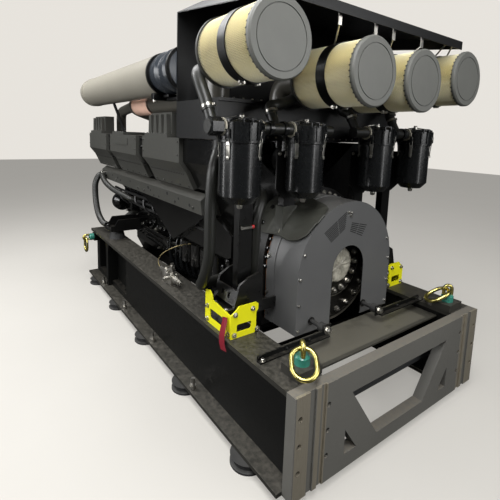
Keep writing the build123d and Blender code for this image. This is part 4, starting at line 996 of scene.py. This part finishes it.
class MODULE_OT_guard(bpy.types.Operator):
    """Bolts, vent slots as painted shade, edge strip and shoulder mat of the coupling guard"""
    bl_idname = "module.guard"
    bl_label = "Coupling guard"

    def execute(self, context):
        sizes = context.scene.module_sizes
        bolts, dark, slots, edge = (bmesh.new() for _ in range(4))
        half = GUARD_HALF - 0.015
        spots = [(side * half, z) for side in SIDES for z in (0.550, 0.700, 0.853)]
        spots += [round_crank(0, half, radians(a)).yz for a in (20.5, 159.5)]
        for y, z in spots + [(-0.030, 1.205), (-0.004, 1.200), (-0.008, 1.182)]:
            add_bolt(bolts, (GUARD_FRONT_X, y, z), (1, 0, 0), sizes.guard_bolt, washer=False)
        for side, angle in ((1, radians(10)), (-1, radians(170))):
            add_bolt(bolts, round_crank(WRAP_X, WRAP_R, angle), (0, cos(angle), sin(angle)),
                     sizes.guard_bolt * 1.5, washer=False)
            for z in (0.56, 0.70):
                add_bolt(bolts, (WRAP_X, side * WRAP_R, z), (0, side, 0), sizes.guard_bolt * 1.2,
                         washer=False)
        for k, angle in enumerate(ARCH_ANGLES):
            add_bolt(bolts if 7 <= k <= 13 else dark,
                     round_crank(1.060, 0.431, angle, CRANK_Z + 0.004), (1, 0, 0), 0.0105)
            if k % 2 == 0:
                add_bolt(dark, round_crank(0.98, HOUSING_R, angle, HOUSING_Z),
                         (0, cos(angle), sin(angle)), sizes.rim_bolt)
        piece("guard_bolts", bolts, "plated_steel")
        piece("housing_bolts", dark, "engine_black")
        self.vents(slots)
        piece("guard_vents", slots, "painted_hole_shade")
        for y in (-ARCH_HALF, ARCH_HALF):
            add_block(edge, (GUARD_FRONT_X - 0.006, y - 0.0015, 0.53),
                      (GUARD_FRONT_X + 0.0008, y + 0.0015, ARCH_Z), 0.0006)
        crown = [round_crank(GUARD_FRONT_X - 0.002, ARCH_HALF, angle, ARCH_Z)
                 for angle in ARCH_ANGLES]
        for start, end in zip(crown, crown[1:]):
            add_hex(edge, start, end, 0.0022)
        piece("guard_arch_edge", edge, "band_black")
        self.mat()
        return {"FINISHED"}

    def vents(self, mesh):
        """Painted shade of two fields of long narrow slots near the top of the front plate."""
        lines = []
        way = Vector((0.855, 0.519))
        for i in range(9):
            start = Vector((-0.229 + 0.0072 * i, 1.097 - 0.0074 * i))
            reach = 0.215 - 0.0095 * i
            lines += [(start, start + way * reach * 0.56),
                      (start + way * (reach * 0.56 + 0.006), start + way * reach)]
        for i in range(6):
            start = Vector((0.006 - 0.0024 * i, 1.136 - 0.0098 * i))
            end = Vector((0.150 - 0.0076 * i, 1.106 - 0.0126 * i))
            middle = (start + end) / 2
            gap = (end - start).normalized() * 0.003
            lines += [(start, middle - gap), (middle + gap, end)]
        for start, end in lines:
            run = (end - start) / 2
            place = Matrix.Translation((GUARD_FRONT_X - 0.0008, *((start + end) / 2)))
            add_block(mesh, (-0.001, -run.length, -0.0029), (0.001, run.length, 0.0029),
                      base=place @ Matrix.Rotation(atan2(run.y, run.x), 4, "X"))

    def mat_place(self, s, t):
        """Point of the mat: s runs along the shoulder, t from its upper edge to its hem."""
        k = min(int(s * 8), 7)
        share = s * 8 - k
        (x0, up0, low0), (x1, up1, low1) = MAT_EDGES[k], MAT_EDGES[k + 1]
        x = x0 + (x1 - x0) * share
        up, low = up0 + (up1 - up0) * share, low0 + (low1 - low0) * share
        angle = radians(up + (low - up) * t)
        bell = HOUSING_R + (HOUSING_Z - CRANK_Z) * sin(angle)
        drop = min(max((x - 1.052) / 0.045, 0.0), 1.0)
        drop = drop * drop * (3 - 2 * drop)
        radius = bell + (WRAP_R - bell) * drop + 0.006
        folds = noise.noise(Vector((x * 5.0, angle * 3.0, 0.3))) * 0.010
        folds += noise.noise(Vector((x * 22.0 + angle * 8.0, angle * 9.0, 2.0))) * 0.0028
        hang = max(t - 0.8, 0.0) / 0.2
        radius += max(folds, -0.003) + hang * hang * 0.008
        spot = round_crank(x, radius, angle)
        reach = hypot(max(POST_X[0] - x, x - POST_X[1], 0.0),
                      max(POST_Y[0] - spot.y, spot.y - POST_Y[1], 0.0))
        spot.z += 0.030 * exp(-(reach / 0.045) ** 2)
        return spot

    def mat(self):
        """Soft cover over the guard's shoulder, cut out round the breather post."""
        mesh = bmesh.new()
        columns, rows = 64, 40
        left, right, top, foot = 24, 32, 17, 37  # the cells cut out for the post
        grid = [[mesh.verts.new(self.mat_place(i / columns, j / rows)) for j in range(rows + 1)]
                for i in range(columns + 1)]
        for i in range(columns):
            for j in range(rows):
                if not (left <= i < right and top <= j < foot):
                    mesh.faces.new((grid[i][j], grid[i][j + 1], grid[i + 1][j + 1],
                                    grid[i + 1][j]))
        loop = [grid[i][top] for i in range(left, right)]
        loop += [grid[right][j] for j in range(top, foot)]
        loop += [grid[i][foot] for i in range(right, left, -1)]
        loop += [grid[left][j] for j in range(foot, top, -1)]
        below = loop
        for rise, near in ((0.08, 0.45), (0.22, 0.75), (0.45, 0.88), (0.72, 0.94), (1.0, 1.0)):
            above = []
            for v in loop:
                pull = 0.001 + noise.noise(v.co * 14 + Vector((0, 0, rise * 2))) * 0.006
                snug = Vector((min(max(v.co.x, POST_X[0] - pull), POST_X[1] + pull),
                               min(max(v.co.y, POST_Y[0] - pull), POST_Y[1] + pull), 0))
                brim = COLLAR_TOP + 0.012 * noise.noise(v.co * 9)
                above.append(mesh.verts.new((v.co.x + (snug.x - v.co.x) * near,
                                             v.co.y + (snug.y - v.co.y) * near,
                                             v.co.z + (brim - v.co.z) * rise)))
            for k in range(len(loop)):
                mesh.faces.new((below[k - 1], below[k], above[k], above[k - 1]))
            below = above
        loose = [v for v in mesh.verts if not v.link_faces]
        bmesh.ops.delete(mesh, geom=loose, context="VERTS")
        flat = sum(face.calc_area() for face in mesh.faces)
        cover = piece("shoulder_mat", mesh, "rubber_mat", sharp=60.0)
        hem = [self.mat_place(i / 24, 1.0) for i in range(25)]
        hem += [self.mat_place(1.0, 1.0 - j / 6) for j in range(1, 7)]
        run_of("shoulder_mat_hem", [hem], 0.0055, "rubber_mat", sides=8)
        seam = [self.mat_place(s, t) + Vector((0, -0.001, 0.001)) for s, t in
                ((0.40, 0.60), (0.42, 0.72), (0.455, 0.85), (0.475, 0.97))]
        run_of("shoulder_mat_seam", [seam], 0.0014, "pale_gasket")
        bright, red = bmesh.new(), bmesh.new()
        add_turned(bright, stand((1.150, -0.222, 1.2705), (0.93, -0.34, 0.1)),
                   [(0, -0.02), (0.010, -0.02), (0.010, 0), (0.0135, 0), (0.0135, 0.016),
                    (0.011, 0.018), (0, 0.018)], 20)
        add_block(red, (1.090, -0.262, 1.248), (1.106, -0.244, 1.262), 0.003)
        piece("mat_fitting", bright, "plated_steel")
        piece("mat_plug", red, "red_cap")


class MODULE_OT_coupling(bpy.types.Operator):
    """Bolt rings on the coupling rotor, and the film on its hub"""
    bl_idname = "module.coupling"
    bl_label = "Coupling"

    def execute(self, context):
        size = context.scene.module_sizes.disc_bolt
        bolts = bmesh.new()
        for count, radius, x in ((16, 0.176, 1.25), (24, 0.345, 1.215)):
            for k in range(count):
                angle = 2 * pi * (k - 0.155) / count
                spot = round_crank(x, radius, angle)
                add_bolt(bolts, spot, (1, 0, 0), size, turn=k * 0.7)
                add_bar(bolts, spot, spot + Vector((size * 1.7, 0, 0)), size * 0.55, segments=12)
        piece("coupling_bolts", bolts, "plated_steel", "coupling")
        self.film()
        return {"FINISHED"}

    def film(self):
        """Crumpled film stretched over the hub's end."""
        mesh = bmesh.new()
        profile = [(0.0, 0.010), (0.03, 0.0095), (0.06, 0.0085), (0.085, 0.0065), (0.102, 0.004),
                   (0.113, -0.002), (0.1155, -0.012), (0.116, -0.024)]
        around = 72
        rings = []
        for i, (radius, ahead) in enumerate(profile):
            ring = []
            for k in range(around if radius else 1):
                angle = 2 * pi * k / around
                crease = noise.noise(Vector((radius * 26, cos(angle) * 2.4, sin(angle) * 2.4)))
                crease += 0.5 * noise.noise(Vector((radius * 60 + 5, cos(angle) * 6,
                                                    sin(angle) * 6)))
                if i < 5:
                    spot = round_crank(HUB_X + ahead + max(crease * 0.008, 0.0015 - ahead),
                                       radius, angle)
                else:
                    spot = round_crank(HUB_X + ahead, radius + abs(crease) * 0.004, angle)
                ring.append(mesh.verts.new(spot))
            rings.append(ring)
        for k in range(around):
            mesh.faces.new((rings[0][0], rings[1][k], rings[1][(k + 1) % around]))
            for inner, outer in zip(rings[1:], rings[2:]):
                mesh.faces.new((inner[k], outer[k], outer[(k + 1) % around],
                                inner[(k + 1) % around]))
        flat = sum(face.calc_area() for face in mesh.faces)
        film = piece("hub_film", mesh, "wrap_film", "coupling", sharp=14.0)


class MODULE_OT_frame_fittings(bpy.types.Operator):
    """Bolts and tag on the base frame"""
    bl_idname = "module.frame_fittings"
    bl_label = "Frame fittings"

    def execute(self, context):
        size = context.scene.module_sizes.frame_bolt
        bracket_x, bracket_y, pad_z, stud_y = 1.235, 0.782, 0.670, 0.812
        near_pads, pad_span = (1.02, 1.14), 2.15
        bolts, dark = bmesh.new(), bmesh.new()
        for side in SIDES:
            for y, z in ((0.755, 0.690), (0.640, 0.700), (0.607, 0.575), (0.760, 0.575)):
                add_bolt(bolts, (bracket_x, side * y, z), (1, 0, 0), size * 0.62)
            for x, z in ((0.985, 0.655), (1.21, 0.575), (0.985, 0.575)):
                add_bolt(bolts, (x, side * bracket_y, z), (0, side, 0), size * 0.62)
            for x in near_pads:
                for y in (0.62, 0.752):
                    add_bolt(bolts, (x, side * y, pad_z), (0, 0, 1), size * 0.8)
                    add_bolt(dark, (x - pad_span, side * y, pad_z), (0, 0, 1), size)
            add_bolt(dark, (-1.07, side * 0.745, 0.50), (0, side, 0), size * 0.8)
            for x in (-1.11, -0.45, 0.21, 0.87):
                add_bolt(bolts, (x, side * stud_y, LEDGE_TOP + 0.02), (0, 0, 1), size * 0.9)
        for y in BUFFER_YS:
            add_bolt(bolts, (RAIL_X + 0.008, y, FRAME_TOP + 0.031), (1, 0, 0), size)
            add_turned(dark, stand((GUARD_FRONT_X, y, FRAME_TOP + 0.031), (1, 0, 0)),
                       band(0.013, 0.024, 0, 0.006))
        for y in (-0.762, 0.606):
            add_bolt(bolts, (RAIL_X + 0.020, y, FRAME_TOP + 0.008), (0, 0, 1), size * 0.6)
        for y in (-0.60, -0.44, 0.36):
            add_bolt(dark, (RAIL_X + 0.008, y, FRAME_TOP + 0.018), (1, 0, 0), size * 0.45)
        piece("frame_bolts", bolts, "plated_steel")
        piece("frame_dark_bolts", dark, "mount_black")
        self.tag()
        return {"FINISHED"}

    def tag(self):
        """Soft tag hung from the left bracket over the flange's edge."""
        line = ((1.186, -0.7905, 0.668), (1.189, -0.797, 0.640), (1.194, -0.809, 0.606),
                (1.201, -0.815, 0.570), (1.209, -0.817, 0.535), (1.219, -0.816, 0.498))
        mesh = bmesh.new()
        rows = []
        for k, spot in enumerate(line):
            half = 0.024 + 0.001 * k
            sway = 0.0035 * sin(k * 1.3)
            rows.append([mesh.verts.new(Vector(spot) + Vector((half * u, sway * u * u, 0.006 * u)))
                         for u in (-1, -0.5, 0, 0.5, 1)])
        for upper, lower in zip(rows, rows[1:]):
            for a, b, c, d in zip(upper, upper[1:], lower[1:], lower):
                mesh.faces.new((a, b, c, d))
        tag = piece("release_tag", mesh, "red_tag")


class MODULE_OT_engine_side(bpy.types.Operator):
    """Pipes, looms, bolts, unions and boxes along the crankcase"""
    bl_idname = "module.engine_side"
    bl_label = "Engine side"

    def execute(self, context):
        chance = random.Random(11)
        for side, word in zip(SIDES, ("left", "right")):
            run_of(f"fuel_pipes_{word}", [self.pipe(side, k) for k in range(7)], 0.0065,
                   "gloss_black")
            run_of(f"looms_{word}", self.looms(side, chance), 0.0115, "cable_black")
            bright, black = bmesh.new(), bmesh.new()
            self.bolts(black, side)
            self.unions(bright, black, side, chance)
            self.boxes(black, side)
            self.drops(side, word)
            piece(f"unions_{word}", bright, "plated_steel")
            piece(f"casting_bolts_{word}", black, "engine_black")
        return {"FINISHED"}

    def pipe(self, side, k):
        """Route of a fuel pipe: out of the block, along it and back in."""
        y, z = side * (0.475 + 0.012 * (k % 3)), 1.07 - 0.016 * k
        x0, x1 = -1.45 + 0.11 * k, 0.25 + 0.08 * k
        return [(x0, side * 0.41, z - 0.10), (x0 + 0.01, y, z - 0.07), (x0 + 0.05, y, z),
                ((x0 + x1) / 2, y, z - 0.012), (x1 - 0.05, y, z), (x1, y, z - 0.06),
                (x1 + 0.02, side * 0.42, z - 0.11)]

    def looms(self, side, chance):
        """Routes of three cable looms along the block and of eight that drop into it."""
        routes = []
        for k in range(3):
            y, z = side * (0.56 - 0.02 * k), 1.02 - 0.05 * k
            routes.append([(-1.5 + i * 0.25, y + side * chance.uniform(-0.012, 0.012),
                            z + chance.uniform(-0.016, 0.016)) for i in range(9)])
        for k in range(8):
            x, foot = -1.35 + 0.23 * k, 0.86 + 0.04 * (k % 3)
            routes.append([(x, side * 0.55, 1.0), (x + 0.02, side * 0.57, 0.93),
                           (x + 0.05, side * 0.48, foot), (x + 0.03, side * 0.392, foot - 0.06)])
        return routes

    def bolts(self, black, side):
        """Bolts of the inspection doors, and along the block and the oil pan."""
        for x in (-0.82, -0.55, -0.28):
            for dx in (-0.085, 0.0, 0.085):
                for z in (0.735, 0.905):
                    add_bolt(black, (x + dx, side * 0.414, z), (0, side, 0), 0.013)
        for k in range(26):
            x = -1.50 + 0.088 * k
            add_bolt(black, (x, side * BLOCK_Y, 0.955), (0, side, 0), 0.012)
            add_bolt(black, (x, side * PAN_Y, 0.52), (0, 0, 1), 0.011)

    def unions(self, bright, black, side, chance):
        """Unions scattered over the block, and four on the oil pan."""
        for k in range(18):
            x = -1.42 + 0.09 * k + chance.uniform(-0.02, 0.02)
            z = chance.uniform(0.62, 0.98)
            foot = BLOCK_Y if z > 0.70 else 0.37
            r = chance.uniform(0.010, 0.022)
            end = foot + chance.uniform(0.03, 0.085)
            add_bar(bright if k % 2 else black, (x, side * foot, z), (x, side * end, z), r,
                    segments=6 if k % 3 else 14)
            add_bar(bright, (x, side * end, z), (x, side * (end + 0.014), z), r * 0.6,
                    segments=12)
        for x, z in ((-0.986, 0.570), (-0.634, 0.520), (-0.349, 0.520), (-0.50, 0.545)):
            neck = (x + 0.012, side * 0.412, z + 0.004)
            add_hex(bright, (x, side * PAN_Y, z), neck, 0.013)
            add_bar(bright, neck, (x + 0.016, side * 0.428, z + 0.004), 0.008, segments=12)

    def boxes(self, black, side):
        """Round caps and boxes on the block."""
        for x, z, r in ((0.60, 0.84, 0.052), (0.71, 0.78, 0.040), (0.64, 0.72, 0.034)):
            add_turned(black, stand((x, side * 0.398, z), (0, side, 0)),
                       [(0, 0), (r, 0), (r, 0.050), (r * 0.8, 0.058), (r * 0.8, 0.082),
                        (r * 0.4, 0.090), (0, 0.090)])
        near, far = sorted((side * BLOCK_Y, side * 0.49))
        for x, z, w, h in ((-1.28, 0.80, 0.10, 0.12), (-0.95, 0.86, 0.07, 0.05),
                           (-0.36, 0.62, 0.12, 0.08), (0.02, 0.70, 0.09, 0.10)):
            add_block(black, (x, near, z), (x + w, far, z + h), 0.008)

    def drops(self, side, word):
        """Pipes from the block down to the oil pan, a piece for each thickness."""
        routes = {}
        for x, z, r in ((-0.24, 0.80, 0.017), (-0.12, 0.76, 0.013), (-0.02, 0.79, 0.020),
                        (0.09, 0.78, 0.014), (0.20, 0.80, 0.018), (0.30, 0.77, 0.014)):
            routes.setdefault(r, []).append(
                [(x + dx, side * y, z - fall) for dx, y, fall in (
                    (0, 0.41, 0), (0, 0.455, 0.01), (0.01, 0.468, 0.10), (-0.012, 0.462, 0.22),
                    (0.008, 0.44, 0.32), (0, 0.36, 0.34))])
        for r in sorted(routes):
            run_of(f"drop_pipes_{word}_{round(r * 1000)}", routes[r], r, "gloss_black", sides=12)


class MODULE_OT_air_pipes(bpy.types.Operator):
    """Clamps and straps of the long pipes, and the screws of plenum and hood"""
    bl_idname = "module.air_pipes"
    bl_label = "Air pipes"

    def execute(self, context):
        bands, screws = bmesh.new(), bmesh.new()
        low, strut_z, hood_x, bulkhead_x = PIPE_Z - PIPE_R, 1.884, 1.059, 1.0505
        screw_ys = [-0.75 + 0.0625 * k for k in range(25)]
        for side in SIDES:
            y = side * PIPE_Y
            for x in (0.19, 0.525):
                add_turned(bands, stand((x, y, PIPE_Z), (1, 0, 0)),
                           band(PIPE_R - 0.018, PIPE_R + 0.0025, -0.012, 0.012), 48)
            for near, far in (((0.135, y - 0.09, low - 0.035), (0.185, y + 0.06, low + 0.012)),
                              ((0.250, y - 0.022, strut_z - 0.022), (0.541, y + 0.022, strut_z)),
                              ((0.250, y - 0.045, strut_z), (0.330, y + 0.045, strut_z + 0.019))):
                add_block(bands, near, far, 0.004)
            add_bolt(screws, (0.16, y - 0.07, low - 0.035), (0, 0, -1), 0.012)
            add_turned(screws, stand((-1.640, side * 0.646, 1.1495), (0, side, 0)),
                       [(0.0315, 0), (0.038, 0), (0.038, 0.030), (0.035, 0.034), (0.0315, 0.034)],
                       28)
            for x in (-0.988, -0.583):
                add_clamp(screws, (x, side * 0.45, 1.9), (1, 0, 0), 0.1045, 0.013, 2.6)
        for y in screw_ys:
            add_bolt(screws, (hood_x, y, 1.84), (0, 0, 1), 0.0065, washer=False)
            add_bolt(screws, (bulkhead_x, y, 1.635), (1, 0, 0), 0.0065, washer=False)
        piece("pipe_bands", bands, "band_black")
        piece("pipe_screws", screws, "plated_steel")
        return {"FINISHED"}


class MODULE_OT_valve(bpy.types.Operator):
    """Unions, rear block and feed tube of the valve block on the frame"""
    bl_idname = "module.valve"
    bl_label = "Valve block"

    def execute(self, context):
        bright = bmesh.new()
        y, z, side_x, feed_z = -0.715, 0.600, 0.345, 0.612
        for x, length, r in ((0.410, 0.014, 0.028), (0.430, 0.010, 0.024),
                             (0.452, 0.024, 0.020), (0.476, 0.022, 0.015)):
            add_hex(bright, (x, y, z), (x + length, y, z), r)
        for start, end, r, segments in (
                ((side_x, y - 0.030, z), (side_x, y - 0.062, z), 0.018, 6),
                ((side_x, y - 0.060, z), (side_x, y - 0.074, z), 0.011, 12),
                ((side_x, y, 0.660), (side_x, y, 0.690), 0.022, 6),
                ((side_x, y, 0.690), (side_x, y, 0.706), 0.012, 12),
                ((0.170, y, feed_z), (0.217, y, feed_z), 0.020, 6),
                ((0.140, y, feed_z), (0.171, y, feed_z), 0.013, 6),
                ((0.255, y, 0.647), (0.255, y, 0.662), 0.016, 6)):
            add_bar(bright, start, end, r, segments=segments)
        add_block(bright, (0.216, y - 0.024, FRAME_TOP + 0.0004), (0.2992, y + 0.026, 0.648),
                  0.004)
        for x in (0.312, 0.378):
            for dy in (-0.02, 0.02):
                add_socket_bolt(bright, (x, y + dy, 0.63), (0, 0, 1), 0.007)
        piece("valve_unions", bright, "plated_steel")
        route = [(0.145, y, feed_z), (0.105, y, 0.614), (0.080, y, 0.650), (0.100, -0.690, 0.710),
                 (0.170, -0.620, 0.770), (0.240, -0.540, 0.800), (0.262, -0.470, 0.790),
                 (0.262, -0.395, 0.780)]
        run_of("valve_tube", [route], 0.0030, "brass", sides=8)
        return {"FINISHED"}


class MODULE_PT_panel(bpy.types.Panel):
    """Lists the steps of the dressing"""
    bl_idname = "MODULE_PT_panel"
    bl_label = "Engine Module"
    bl_space_type = "VIEW_3D"
    bl_region_type = "UI"
    bl_category = "Engine Module"

    def draw(self, context):
        for step in STEPS:
            self.layout.operator(step.bl_idname)
        for group in GROUPS:
            holder = getattr(context.scene, group)
            for name in holder.bl_rna.properties.keys():
                if name not in ("rna_type", "name"):
                    self.layout.prop(holder, name)


STEPS = (MODULE_OT_stage, MODULE_OT_finishes, MODULE_OT_air_filters, MODULE_OT_breathers,
         MODULE_OT_covers, MODULE_OT_guard, MODULE_OT_coupling, MODULE_OT_frame_fittings,
         MODULE_OT_engine_side, MODULE_OT_air_pipes, MODULE_OT_valve)
GROUPS = {"module_colours": ModuleColours, "module_sizes": ModuleSizes,
          "module_stage": ModuleStage}


def register():
    for made in (*GROUPS.values(), *STEPS, MODULE_PT_panel):
        bpy.utils.register_class(made)
    for name, group in GROUPS.items():
        setattr(bpy.types.Scene, name, PointerProperty(type=group))


def unregister():
    for name in GROUPS:
        delattr(bpy.types.Scene, name)
    for made in reversed((*GROUPS.values(), *STEPS, MODULE_PT_panel)):
        bpy.utils.unregister_class(made)


def main():
    register()
    for step in STEPS:
        group, name = step.bl_idname.split(".")
        getattr(getattr(bpy.ops, group), name)()


if __name__ == "__main__":
    main()
